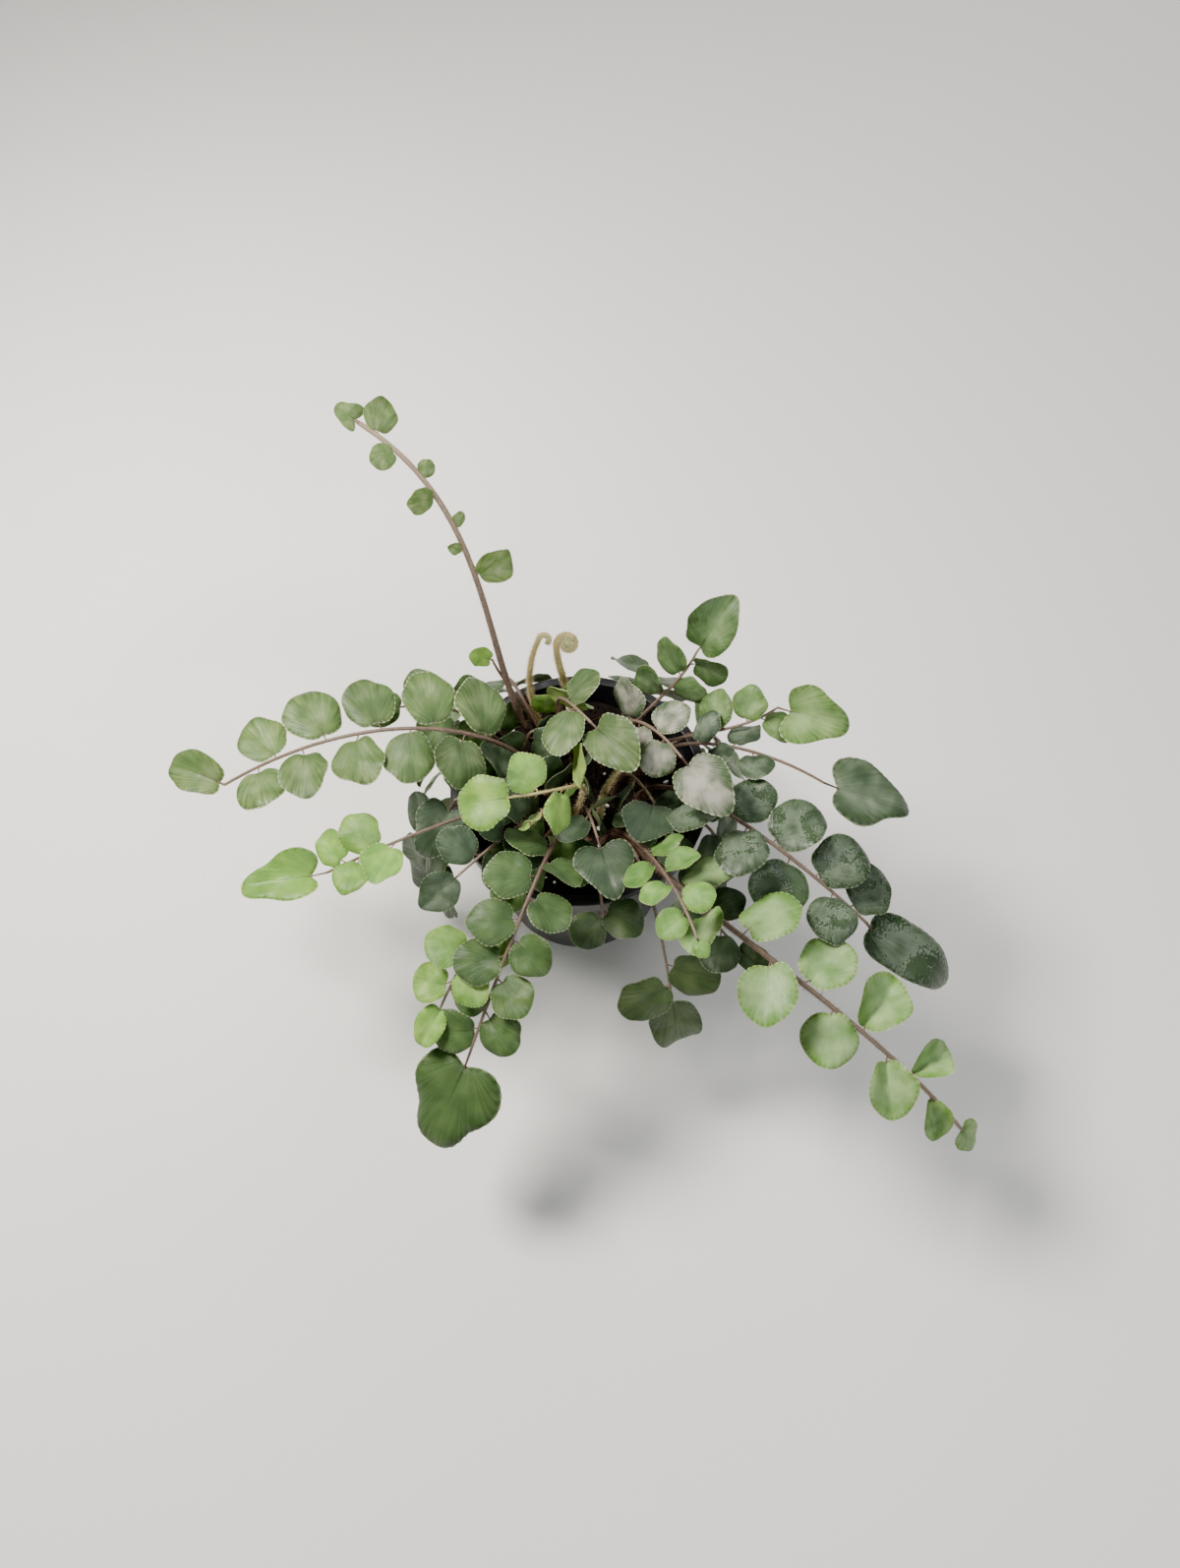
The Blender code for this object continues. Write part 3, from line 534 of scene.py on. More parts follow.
def new_ball(segments: int, rings: int, radius: float = 1) -> bmesh.types.BMesh:
    """Makes a ball.

    Args:
        segments: How many faces go round.
        rings: How many go from pole to pole.
        radius: The ball's radius.

    Returns:
        The mesh.
    """
    shape = bmesh.new()
    bmesh.ops.create_uvsphere(shape, u_segments=segments, v_segments=rings, radius=radius)
    put_in_order(shape)
    return shape


class Clearance:
    """Everything that has its place already, against which a new leaflet is tested."""

    def __init__(self, fronds: tuple[Frond, ...], stems: dict[str, list[Vector]]) -> None:
        """Starts with the pot and every stem.

        Args:
            fronds: The plant's fronds.
            stems: The points of each one's stem, by name.
        """
        ball = new_ball(RIM_POINTS, rings=3)
        self.corners = [vert.co.copy() for vert in ball.verts]
        self.faces = [[vert.index for vert in face.verts] for face in ball.faces]
        ball.free()
        pot = bmesh.new()
        middle = Vector((0, 0, 0.5 * POT_HEIGHT))
        bmesh.ops.create_cone(
            pot, cap_ends=True, segments=POT_SIDES, radius1=POT_FOOT_RADIUS + POT_MARGIN,
            radius2=POT_TOP_RADIUS + POT_MARGIN, depth=POT_HEIGHT + POT_MARGIN,
            matrix=Matrix.Translation(middle),
        )
        reach = math.hypot(POT_TOP_RADIUS, POT_HEIGHT)
        self.placed = [("pot", BVHTree.FromBMesh(pot), middle, reach)]
        pot.free()
        for frond in fronds:
            stem = stems[frond.name]
            middle = sum(stem, Vector()) / len(stem)
            reach = max((point - middle).length for point in stem)
            self.placed.append((frond.name, self.tube(stem), middle, reach))

    @staticmethod
    def tube(points: list[Vector]) -> BVHTree:
        """Wraps a stem with the margin that leaflets keep.

        Args:
            points: The stem's points.

        Returns:
            The tree of a six-sided tube round them.
        """
        shape = bmesh.new()
        rings = []
        radius = STEM_BASE_RADIUS + STEM_MARGIN
        for point, way in zip(points, directions(points)):
            place = Matrix.Translation(point) @ way.to_track_quat("Z", "X").to_matrix().to_4x4()
            ring = bmesh.ops.create_circle(shape, segments=TUBE_SIDES, radius=radius, matrix=place)
            rings.append(ring["verts"])
        for low, high in zip(rings, rings[1:]):
            for corner in range(TUBE_SIDES):
                after = (corner + 1) % TUBE_SIDES
                shape.faces.new((low[corner], low[after], high[after], high[corner]))
        tree = BVHTree.FromBMesh(shape)
        shape.free()
        return tree

    def blocks(self, tree: BVHTree, middle: Vector, reach: float, own_stem: str) -> bool:
        """Tests a leaflet.

        Args:
            tree: The leaflet's plate.
            middle: The plate's middle.
            reach: How far it goes from there.
            own_stem: The frond whose stem it may touch.

        Returns:
            Whether it crosses anything else.
        """
        for owner, other, centre, radius in self.placed:
            if owner == own_stem or (centre - middle).length > reach + radius:
                continue
            if tree.overlap(other):
                return True
        return False

    def settle(self, bud: Bud, own_stem: str) -> Leaflet | None:
        """Finds the first stance that crosses nothing, and keeps it.

        Args:
            bud: The leaflet to be.
            own_stem: The frond that it grows on.

        Returns:
            The leaflet, or None where every trial crosses something.
        """
        for tilt, roll, scale in TRIALS:
            leaflet = bud.leaflet(tilt, roll, scale)
            points = leaflet.plate(self.corners)
            if min(point.z for point in points) < FLOOR_MARGIN:
                continue
            middle = leaflet.place @ Vector((0, leaflet.middle, 0))
            reach = max((point - middle).length for point in points)
            tree = BVHTree.FromPolygons(points, self.faces)
            if not self.blocks(tree, middle, reach, own_stem):
                self.placed.append(("", tree, middle, reach))
                return leaflet
        return None


def lay_out(fronds: tuple[Frond, ...]) -> dict[str, list[Leaflet]]:
    """Gives every frond its leaflets, clear of all that stands already.

    Args:
        fronds: The fronds, those that the eye meets first in front.

    Returns:
        Each frond's leaflets by its name.
    """
    stems = {frond.name: frond.stem() for frond in fronds}
    clearance = Clearance(fronds, stems)
    laid = {}
    for frond in fronds:
        buds = Grower(frond, stems[frond.name]).buds()
        settled = [clearance.settle(bud, frond.name) for bud in buds]
        laid[frond.name] = [leaflet for leaflet in settled if leaflet]
    return laid


LENGTHS = {"pitch", "blade", "end_blade", "gap", "coil"}


def grow(name: str, *handles: tuple[float, ...], **traits: Any) -> Frond:
    """Describes a frond.

    Args:
        name: Its node's name.
        handles: Its crown, knee, shoulder and tip, in millimetres.
        traits: Its other fields, with the lengths in millimetres.

    Returns:
        The frond, in metres.
    """
    metres = {key: traits[key] * MM for key in LENGTHS & traits.keys()}
    return Frond(name, *(mm(*handle) for handle in handles), **{**traits, **metres})


# The crown's fronds lie nearly flat and show their leaflets to the eye, some of them slightly cupped
FLAT = {"lift": 4, "shingle": 0, "faces": (0, -0.5, 1)}
CUPPED = {**FLAT, "shingle": -6}

FRONDS: tuple[Frond, ...] = (
    grow("frond_centre_top", (-2, 12), (-12, 20, 120), (-8, 10, 132), (4, -4, 132), pairs=1, blade=15.5,
         end=Form.HEART, end_blade=20, tone=Tone.SILVER, **CUPPED),
    grow("frond_silver", (6, 6), (8, 8, 124), (20, 2, 134), (33, -17, 132), pairs=2, blade=13,
         end=Form.HEART, end_blade=20, tone=Tone.SILVER, **CUPPED),
    grow("frond_light_left", (-2, -8), (6, -12, 116), (0, -30, 134), (-21, -28, 126), pairs=2, pitch=15,
         blade=14, end_blade=19, tone=Tone.LIME, **FLAT),
    grow("frond_dark_front", (0, -12), (0, -16, 104), (3, -26, 116), (6, -36, 112), pairs=1,
         end=Form.LOBED, end_blade=20, tone=Tone.DARK, **CUPPED),
    grow("frond_dark_centre", (12, -1), (14, -4, 106), (18, -14, 118), (25, -23, 112), pairs=1,
         end_blade=19, tone=Tone.DARK, gap=12, end_turn=48, lift=34, shingle=0, faces=(0, -0.5, 1)),
    grow("frond_dark_upper_left", (-17, -3), (-20, -8, 108), (-30, -18, 114), (-42, -20, 108), pairs=3,
         pitch=14, blade=15, end=Form.LOBED, end_blade=20, tone=Tone.DARK, end_turn=-40, **FLAT),
    grow("frond_dark_lower_left", (-10, -14), (-12, -18, 104), (-24, -34, 112), (-40, -46, 104), pairs=3,
         blade=15, end_blade=15, tone=Tone.DARK, **FLAT),
    grow("frond_lime_top", (-6, 17), (-6, 20, 98), (-8, 24, 112), (-9, 18, 112), pairs=1, pitch=10,
         blade=10, end=Form.HEART, end_blade=17, tone=Tone.LIME, gap=7, end_turn=-50, **FLAT),
    grow("frond_long_right", (15, -10), (18, -64, 138), (80, -90, 120), (126, -119, 64), pairs=5, pitch=25,
         blade=20, end=Form.LOBED, end_blade=12, tone=Tone.LIME, gap=19, stagger=0.45, skew=13,
         sizes=(0.62, 0.85, 0.95, 1, 1, 1, 1, 1, 0.95, 0.9), shingle=26, girth=1.45),
    grow("frond_long_left", (-12, 0), (-12, -6, 130), (-62, 10, 132), (-122, -12, 104), pairs=5,
         pitch=18.5, blade=20, end=Form.OBLONG, end_blade=23, tone=Tone.SILVER, gap=22, stagger=-0.45,
         forward=9, skew=12, end_turn=44, girth=1.15),
    grow("frond_tall_left", (-8, 9), (-37, 16, 118), (-20, 46, 172), (-66, 61, 199), pairs=4, pitch=18.5,
         blade=11.5, end=Form.LOBED, end_blade=8, tone=Tone.SILVER, gap=6, stagger=0.4,
         sizes=(0.9, 0.8, 0.5, 0.9, 0.5, 0.45, 1.1, 0), faces=(0.1, -0.4, 0.7), girth=1.75),
    grow("frond_right", (21, -2), (26, -14, 130), (62, -45, 130), (94, -61, 100), pairs=4, pitch=17.5,
         blade=18, end=Form.HEART, end_blade=36, tone=Tone.DARK, gap=18, stagger=-0.54, end_slimness=0.62,
         end_turn=-8, girth=1.2),
    grow("frond_right_upper", (19, 3), (22, 4, 122), (58, -6, 124), (82, -16, 113), pairs=2, pitch=14,
         blade=13, end=Form.LOBED, end_blade=28, tone=Tone.DARK, gap=26, end_turn=-14),
    grow("frond_right_top", (15, 9), (22, 8, 110), (50, -4, 118), (67, 8, 122), pairs=2, blade=13,
         end=Form.LOBED, end_blade=22, gap=6, end_turn=44, **FLAT),
    grow("frond_back_top", (10, 14), (16, 16, 100), (34, 18, 116), (40, 27, 127), pairs=2, pitch=11,
         blade=13.5, end=Form.HEART, end_blade=20, gap=5, lift=4, faces=(0, -0.5, 1)),
    grow("frond_front_left", (-4, -17), (-4, -26, 122), (-18, -66, 122), (-36, -97, 76), pairs=6, pitch=14,
         blade=16, end=Form.LOBED, end_blade=32, girth=1.15),
    grow("frond_front_right", (8, -19), (18, -26, 112), (25, -58, 114), (32, -76, 66), pairs=1, pitch=16,
         blade=18, end=Form.HEART, end_blade=27, tone=Tone.DARK, end_slimness=0.8, faces=(0, -0.7, 0.8)),
    grow("frond_front_pair", (2, -20), (2, -26, 100), (7, -44, 104), (8, -56, 92), pairs=1, blade=13.5,
         tone=Tone.DARK, gap=1.5, stagger=0.1, forward=34),
    grow("frond_low_left", (-15, -9), (-16, -16, 112), (-52, -38, 122), (-86, -40, 93), pairs=2, pitch=13,
         blade=14, end=Form.LOBED, end_blade=27, tone=Tone.LIME, end_slimness=0.6, lift=30),
    grow("frond_young_right", (12, -15), (15, -30, 106), (27, -54, 138), (35, -80, 136), pairs=3, pitch=14,
         blade=11, end_blade=6, tone=Tone.LIME, **CUPPED),
    grow("frond_under_right", (14, -20), (16, -28, 98), (34, -50, 104), (52, -64, 88), pairs=2, pitch=15,
         blade=14, end=Form.OBLONG, end_blade=15, tone=Tone.DARK, gap=7),
    grow("frond_upper_left", (-14, 5), (-20, 10, 100), (-42, 18, 112), (-62, 17, 108), pairs=3, pitch=15,
         blade=14, end_blade=16, **FLAT),
    grow("frond_lime_left", (-7, -21), (-10, -34, 110), (-30, -62, 114), (-45, -84, 86), pairs=2, pitch=14,
         blade=14, end=Form.OBLONG, end_blade=16, tone=Tone.LIME, gap=8),
    grow("frond_sprig", (-14, 12), (-14, 20, 98), (-26, 22, 112), (-30, 26, 124), end=Form.OBLONG,
         end_blade=10, tone=Tone.LIME, end_turn=-30, faces=(0, -0.5, 0.8)),
    grow("crozier_tall", (-1, 24), (-3, 31, 96), (-8.4, 30, 112), (-8.2, 34.6, 121), tone=Tone.GOLD,
         girth=1.6, coil=3.9, turns=1.4),
    grow("crozier_arched", (-12, 22), (-22, 32, 96), (-18, 34, 112), (-14.5, 36.3, 121), tone=Tone.GOLD,
         girth=1.45, coil=2.3, turns=0.7),
    grow("crozier_low", (7, -10), (8, -14, 98), (7, -21, 116), (14, -14, 120), tone=Tone.GOLD, girth=1.2,
         coil=1.8, turns=0.75),
    grow("frond_tiny", (-9, -8), (-11, -14, 100), (-16, -34, 112), (-16, -34, 120), pairs=1, pitch=4,
         blade=4.5, end_blade=5, tone=Tone.LIME, gap=2.5, stagger=0.3, faces=(0, -0.5, 0.8)),
    grow("frond_inner_back", (3, 18), (5, 15, 90), (10, 8, 98), (13, 1, 94), pairs=2, blade=13,
         end_blade=13, tone=Tone.DARK, gap=6, **CUPPED),
    grow("frond_inner_front", (7, -5), (6, -8, 86), (4, -14, 94), (1, -23, 90), pairs=2, pitch=11,
         blade=13, end_blade=13, tone=Tone.DARK, gap=6, **CUPPED),
    grow("frond_inner_left", (-5, -5), (-8, -7, 88), (-16, -9, 97), (-25, -12, 95), pairs=2, blade=13,
         end_blade=13, tone=Tone.DARK, gap=6, **FLAT),
    grow("frond_inner_right", (17, -6), (20, -10, 86), (26, -16, 94), (30, -26, 92), pairs=2, blade=13,
         end_blade=13, tone=Tone.DARK, gap=6, **CUPPED),
    grow("frond_inner_top", (-20, 2), (-22, 6, 90), (-20, 12, 102), (-15, 12, 100), pairs=1, pitch=10,
         blade=14, end_blade=14, tone=Tone.DARK, gap=5, **FLAT),
    grow("frond_inner_low", (-5, -12), (-8, -18, 88), (-14, -32, 102), (-20, -43, 97), pairs=2, blade=14,
         end_blade=14, gap=6, **FLAT),
    grow("frond_back_left", (-10, 15), (-26, 32, 116), (-34, 52, 92), (-22, 52, 26), pairs=4, pitch=15,
         blade=17, end=Form.LOBED, end_blade=19, tone=Tone.DARK),
    grow("frond_back_right", (10, 19), (24, 32, 116), (34, 52, 92), (20, 53, 28), pairs=4, pitch=16,
         blade=17, end=Form.HEART, end_blade=20, tone=Tone.DARK),
    grow("frond_skirt_left", (-18, 9), (-38, 18, 112), (-60, 26, 92), (-54, 26, 28), pairs=4, pitch=15,
         blade=16, end=Form.LOBED, end_blade=18),
    grow("frond_skirt_low_left", (-22, -6), (-40, -12, 106), (-62, -16, 92), (-55, -20, 28), pairs=4,
         pitch=15, blade=16, end_blade=16, tone=Tone.DARK),
    grow("frond_skirt_right", (22, 8), (40, 16, 108), (60, 22, 92), (53, 24, 28), pairs=4, pitch=15,
         blade=16, end=Form.HEART, end_blade=18),
    grow("frond_skirt_low_right", (22, -12), (38, -16, 102), (58, -22, 90), (52, -24, 30), pairs=4,
         pitch=15, blade=15, end_blade=16, tone=Tone.DARK),
)


@dataclass(frozen=True)
class Ageing:
    """How a frond's leaflets look beyond their form.

    root and tip say how young they are at the frond's foot and tip, spots how wet and bruised, bloom how
    silvery they are together with how much painted sheen lies on them, and straw how pale the stem's tip is,
    all 0 to 1. folded is how many side leaflets nearest the tip are shut like a book, and toothed says
    that the margins have teeth. bristly is how many times the usual number of bristles the stem has, and
    golden says that they are those of a young frond.
    """

    root: float = 0.1
    tip: float = 0.25
    spots: float = 0.0
    bloom_and_sheen: float = 0.3
    straw: float = 0.4
    folded: int = 0
    toothed: bool = True
    bristly: float = 1.0
    golden: bool = False


# A frond's bloom sets both its leaflets' silvery grey and their painted sheen
AGEING = {
    "frond_long_right": Ageing(0.4, 1.0, bloom_and_sheen=1.0, straw=0.7, folded=4, bristly=4),
    "frond_long_left": Ageing(0.15, 0.45, spots=0.1, bloom_and_sheen=0.25),
    "frond_low_left": Ageing(0.0, 0.7, bloom_and_sheen=0.05),
    "frond_light_left": Ageing(0.35, 0.65, bloom_and_sheen=0.1, bristly=5, golden=True),
    "frond_young_right": Ageing(0.1, 0.4),
    "frond_lime_top": Ageing(0.4, 0.7, bloom_and_sheen=0.4, folded=1),
    "frond_lime_left": Ageing(0.25, 0.8, bloom_and_sheen=0.4),
    "frond_dark_front": Ageing(0.0, 0.0, bloom_and_sheen=0.15),
    "frond_dark_centre": Ageing(0.0, 0.0, bloom_and_sheen=0.0),
    "frond_dark_upper_left": Ageing(0.0, 0.1, spots=0.6),
    "frond_dark_lower_left": Ageing(0.0, 0.1, bloom_and_sheen=0.15),
    "frond_sprig": Ageing(0.9, 1.0, bloom_and_sheen=0.1, toothed=False),
    "frond_tiny": Ageing(0.7, 0.9, bloom_and_sheen=0.6, toothed=False, bristly=3, golden=True),
    "frond_right": Ageing(0.3, 0.45, spots=0.9, bloom_and_sheen=1.0),
    "frond_right_upper": Ageing(0.0, 0.25, spots=0.15, bloom_and_sheen=0.6),
    "frond_right_top": Ageing(0.2, 0.8, bloom_and_sheen=0.7),
    "frond_back_top": Ageing(0.1, 0.2, bloom_and_sheen=0.6),
    "frond_front_left": Ageing(0.0, 0.25, bloom_and_sheen=0.05),
    "frond_front_right": Ageing(0.6, 0.7, bloom_and_sheen=0.0),
    "frond_front_pair": Ageing(0.5, 0.5, bloom_and_sheen=0.0),
    "frond_silver": Ageing(0.0, 0.0, spots=0.3, bloom_and_sheen=1.0),
    "frond_centre_top": Ageing(0.1, 0.35, bloom_and_sheen=0.25),
    "frond_tall_left": Ageing(1.0, 0.6, bloom_and_sheen=0.4, straw=0.65, toothed=False),
}
PLAIN_AGEING = Ageing()
CROZIER_AGEING = Ageing(straw=1.0, bristly=16, golden=True)


# Settings that many nodes share
BLEND = {"data_type": "RGBA"}
DARKEN = {"data_type": "RGBA", "blend_type": "MULTIPLY"}
SOFT = {"interpolation_type": "SMOOTHSTEP"}
TIMES = {"operation": "MULTIPLY"}
TIMES_PLUS = {"operation": "MULTIPLY_ADD"}

Settings = dict[str | int, Any]
Links = dict[str | int, bpy.types.Node | bpy.types.NodeSocket]


def entry(node: bpy.types.Node, key: str | int) -> bpy.types.NodeSocket:
    """Finds an input of a node.

    Args:
        node: The node.
        key: The input's number, or its name, which stands for the first live input of that name.

    Returns:
        The input.
    """
    if isinstance(key, int):
        return node.inputs[key]
    return next(socket for socket in node.inputs if socket.enabled and socket.name == key)


def connect(tree: bpy.types.NodeTree, node: bpy.types.Node, links: Links) -> None:
    """Feeds inputs of a node.

    Args:
        tree: The tree that holds it.
        node: The node.
        links: What feeds each input. A node stands for its first live output.
    """
    for key, source in links.items():
        if isinstance(source, bpy.types.Node):
            source = next(socket for socket in source.outputs if socket.enabled)
        tree.links.new(source, entry(node, key))


def add_node(
    tree: bpy.types.NodeTree, kind: str, settings: Settings | None = None, links: Links | None = None
) -> bpy.types.Node:
    """Adds a node with its settings and links.

    Args:
        tree: The tree that gets it.
        kind: The node's type, without ShaderNode.
        settings: Values by the name of a property, or by the name or number of an input.
        links: What feeds an input, by its name or number.

    Returns:
        The node.
    """
    node = tree.nodes.new("ShaderNode" + kind)
    for key, value in (settings or {}).items():
        if isinstance(key, str) and hasattr(node, key):
            setattr(node, key, value)
        else:
            entry(node, key).default_value = value
    connect(tree, node, links or {})
    return node


class Recipe:
    """A material in the making: its tree, to which nodes are added, and its Principled shader."""

    def __init__(self, name: str, constants: dict[str, Any]) -> None:
        """Starts the material.

        Args:
            name: Its name.
            constants: The shader's settings that are the same all over the surface.
        """
        self.material = bpy.data.materials.new(name)
        self.material.use_nodes = True
        self.tree = self.material.node_tree
        self.shader = self.tree.nodes["Principled BSDF"]
        for key, value in constants.items():
            self.shader.inputs[key].default_value = value
        self.add = partial(add_node, self.tree)

    def finish(self, links: Links) -> bpy.types.Material:
        """Feeds the shader and gives the material."""
        connect(self.tree, self.shader, links)
        return self.material


@dataclass(frozen=True)
class LeafFinish:
    """A living fern leaflet: a leathery skin over fine forked veins, with a pale, toothed margin.

    To the eye it is a soft satin: the fine furrows over the veins break its highlights into silk, a thin grey
    bloom with a painted sheen lies over the middle, and the green is deepest just inside the margin.
    """

    name: str
    mature: str
    young: str
    # The streak colour darkens the vein furrows and also paints the shade in the midrib's fold
    streak_and_crease_shade: str
    # The bloom colour is the leaf's silvery grey and a painted sheen as well
    bloom_and_sheen: str
    margin: str
    under: str
    bloom_and_sheen_share: float = 0.35
    roughness: float = 0.42

    # The veins lie 0.4 mm apart near the rim. The coarse set is drawn at 0.9 mm so that it shows. A
    # frond's last leaflet is the largest, and has half as many again.
    vein_turns: float = 7.5
    hair_vein_turns: float = 18.0
    vein_depth: float = 0.42
    relief: float = 0.3 * MM

    def material(self) -> bpy.types.Material:
        """Mixes the leaf's finish.

        Returns:
            The material, which reads the UV map and both colour attributes of a frond.
        """
        recipe = Recipe(
            self.name,
            {"Specular IOR Level": 0.3, "Sheen Weight": 0.04, "Sheen Roughness": 0.45, "IOR": 1.45},
        )
        add = recipe.add
        flat = add("UVMap", {"uv_map": "blade"})
        leaf = add("Attribute", {"attribute_name": "leaf"})
        tint = add("Attribute", {"attribute_name": "tint"})
        out, luck, under = add("SeparateColor", links={"Color": leaf}).outputs
        age, spots, bloom_and_sheen = add("SeparateColor", links={"Color": tint}).outputs
        crest, crease = leaf.outputs["Alpha"], tint.outputs["Alpha"]

        # The veins fan out from where the stalk meets the blade
        base = add("VectorMath", {"operation": "SUBTRACT", 1: (0.5, STALK_SHARE, 0)}, {0: flat})
        split = add("SeparateXYZ", links={0: base})
        across, along = split.outputs["X"], split.outputs["Y"]
        angle = add("Math", {"operation": "ARCTAN2"}, {0: across, 1: along})
        finer = add("Math", TIMES_PLUS, {0: angle, 1: crease, 2: angle})
        radius = add("VectorMath", {"operation": "LENGTH"}, {0: base})
        fan = add("CombineXYZ", links={"X": finer, "Y": radius, "Z": luck})
        streaks, hairs = (
            add(
                "TexNoise",
                {"Scale": 1.0, "Detail": 1.0},
                {"Vector": add("VectorMath", {**TIMES, 1: stretch}, {0: fan})},
            )
            for stretch in ((self.vein_turns, 1.3, 40), (self.hair_vein_turns, 2.6, 71))
        )
        fainter = add("Math", {**TIMES, 1: 0.55}, {0: hairs})
        veins = add("Math", {**TIMES_PLUS, 1: 0.45}, {0: streaks, 2: fainter})
        reach = add("MapRange", {"To Min": 0.3 * self.vein_depth, "To Max": self.vein_depth}, {"Value": out})
        furrows = add("MapRange", {"From Min": 0.6, "From Max": 0.38}, {"Value": veins, "To Max": reach})
        shift = add("CombineXYZ", links={"Z": add("Math", {**TIMES, 1: 90.0}, {0: luck})})
        drift = add("VectorMath", {**TIMES_PLUS, 1: (2.6, 2.6, 0)}, {0: flat, 2: shift})
        clouds = add("TexNoise", {"Scale": 1.0, "Detail": 2.0}, {"Vector": drift})
        grain = add("TexNoise", {"Scale": 14.0, "Detail": 2.0, "Roughness": 0.6}, {"Vector": drift})

        # Green by age, deeper in the furrows
        green = add("Mix", {**BLEND, "A": linear(self.mature), "B": linear(self.young)}, {"Factor": age})
        streaked = add("Mix", {**DARKEN, "B": linear(self.streak_and_crease_shade)}, {"A": green, "Factor": furrows})

        # The midrib's fold gets a painted shade line that fades half way along
        beside = add("Math", {"operation": "ABSOLUTE"}, {0: across})
        line = add(
            "MapRange", {**SOFT, "From Min": 0.022, "From Max": 0.004, "To Max": 0.7}, {"Value": beside}
        )
        near = add("MapRange", {"From Min": 0.62, "From Max": 0.15}, {"Value": along})
        crease_shade_mask = add("Math", TIMES, {0: crease, 1: add("Math", TIMES, {0: line, 1: near})})
        crease_shaded = add("Mix", {**DARKEN, "B": linear(self.streak_and_crease_shade)}, {"A": streaked, "Factor": crease_shade_mask})

        # The grey bloom with a painted sheen: thick in the middle like a painted highlight, patchy, and thin
        # over the furrows and near the margin
        inner = add(
            "MapRange", {"From Min": 0.98, "From Max": 0.5, "To Min": -0.16, "To Max": 0.06}, {"Value": out}
        )
        heaped = add("Math", {"operation": "ADD"}, {0: clouds, 1: inner})
        thick = add("Math", {**TIMES_PLUS, 1: 0.36}, {0: bloom_and_sheen, 2: heaped})
        ridged = add("Math", {**TIMES_PLUS, 1: -0.3}, {0: furrows, 2: thick})
        bloom_and_sheen_patch = add(
            "MapRange",
            {**SOFT, "From Min": 0.46, "From Max": 0.98, "To Max": self.bloom_and_sheen_share},
            {"Value": ridged},
        )
        bloom_and_sheen_mask = add("Math", TIMES, {0: bloom_and_sheen_patch, 1: bloom_and_sheen})
        with_bloom_and_sheen = add("Mix", {**BLEND, "B": linear(self.bloom_and_sheen)}, {"A": crease_shaded, "Factor": bloom_and_sheen_mask})

        # Wet, bruised spots are dark and shine, and cover a part of the leaf
        bruised = add("Math", TIMES, {0: spots, 1: clouds})
        sodden = add("Math", {**TIMES_PLUS, 1: 0.5}, {0: grain, 2: bruised})
        wet = add(
            "MapRange", {**SOFT, "From Min": 0.68, "From Max": 0.76, "To Max": 0.8}, {"Value": sodden}
        )
        spotted = add("Mix", {**BLEND, "B": linear(WET_GREEN)}, {"A": with_bloom_and_sheen, "Factor": wet})

        # Each tooth of the margin is pale, and the notch beside it dark
        edge = add("MapRange", {**SOFT, "From Min": 0.95, "From Max": 1.0, "To Max": 0.7}, {"Value": out})
        toothed = add("Math", TIMES, {0: edge, 1: crest})
        rim = add("MapRange", {"From Min": 0.86, "From Max": 1.0, "To Max": 0.7}, {"Value": out})
        between = add("Math", {"operation": "SUBTRACT", 0: 1.0}, {1: crest})
        notch = add("Math", {**TIMES, "use_clamp": True}, {0: rim, 1: between})
        notched = add("Mix", {**DARKEN, "B": linear(self.streak_and_crease_shade)}, {"A": spotted, "Factor": notch})
        edged = add("Mix", {**BLEND, "B": linear(self.margin)}, {"A": notched, "Factor": toothed})
        sided = add("Mix", {**BLEND, "B": linear(self.under)}, {"A": edged, "Factor": under})

        # No two leaflets, and no two places on one, have quite the same green
        hue = add("MapRange", {"To Min": 0.53, "To Max": 0.47}, {"Value": clouds})
        own = add("MapRange", {"To Min": 0.85, "To Max": 1.15}, {"Value": luck})
        cloudy = add(
            "MapRange", {"From Min": 0.3, "From Max": 0.7, "To Min": 0.75, "To Max": 1.25}, {"Value": clouds}
        )
        value = add("Math", TIMES, {0: own, 1: cloudy})
        varied = add("HueSaturation", links={"Color": sided, "Hue": hue, "Value": value})

        # The furrows are duller than the ridges between them, and wet spots glossy
        dull = {"To Min": self.roughness + 0.1, "To Max": self.roughness - 0.08}
        rough = add("MapRange", {"From Min": 0.3, "From Max": 0.7, **dull}, {"Value": veins})
        gloss = add("Mix", {"data_type": "FLOAT", "B": 0.2}, {"A": rough, "Factor": wet})
        height = add("Math", {**TIMES_PLUS, 1: 0.7}, {0: grain, 2: veins})
        bump = add("Bump", {"Strength": 0.55, "Distance": self.relief}, {"Height": height})
        return recipe.finish({"Base Color": varied, "Roughness": gloss, "Normal": bump})


WET_GREEN = "17300f"

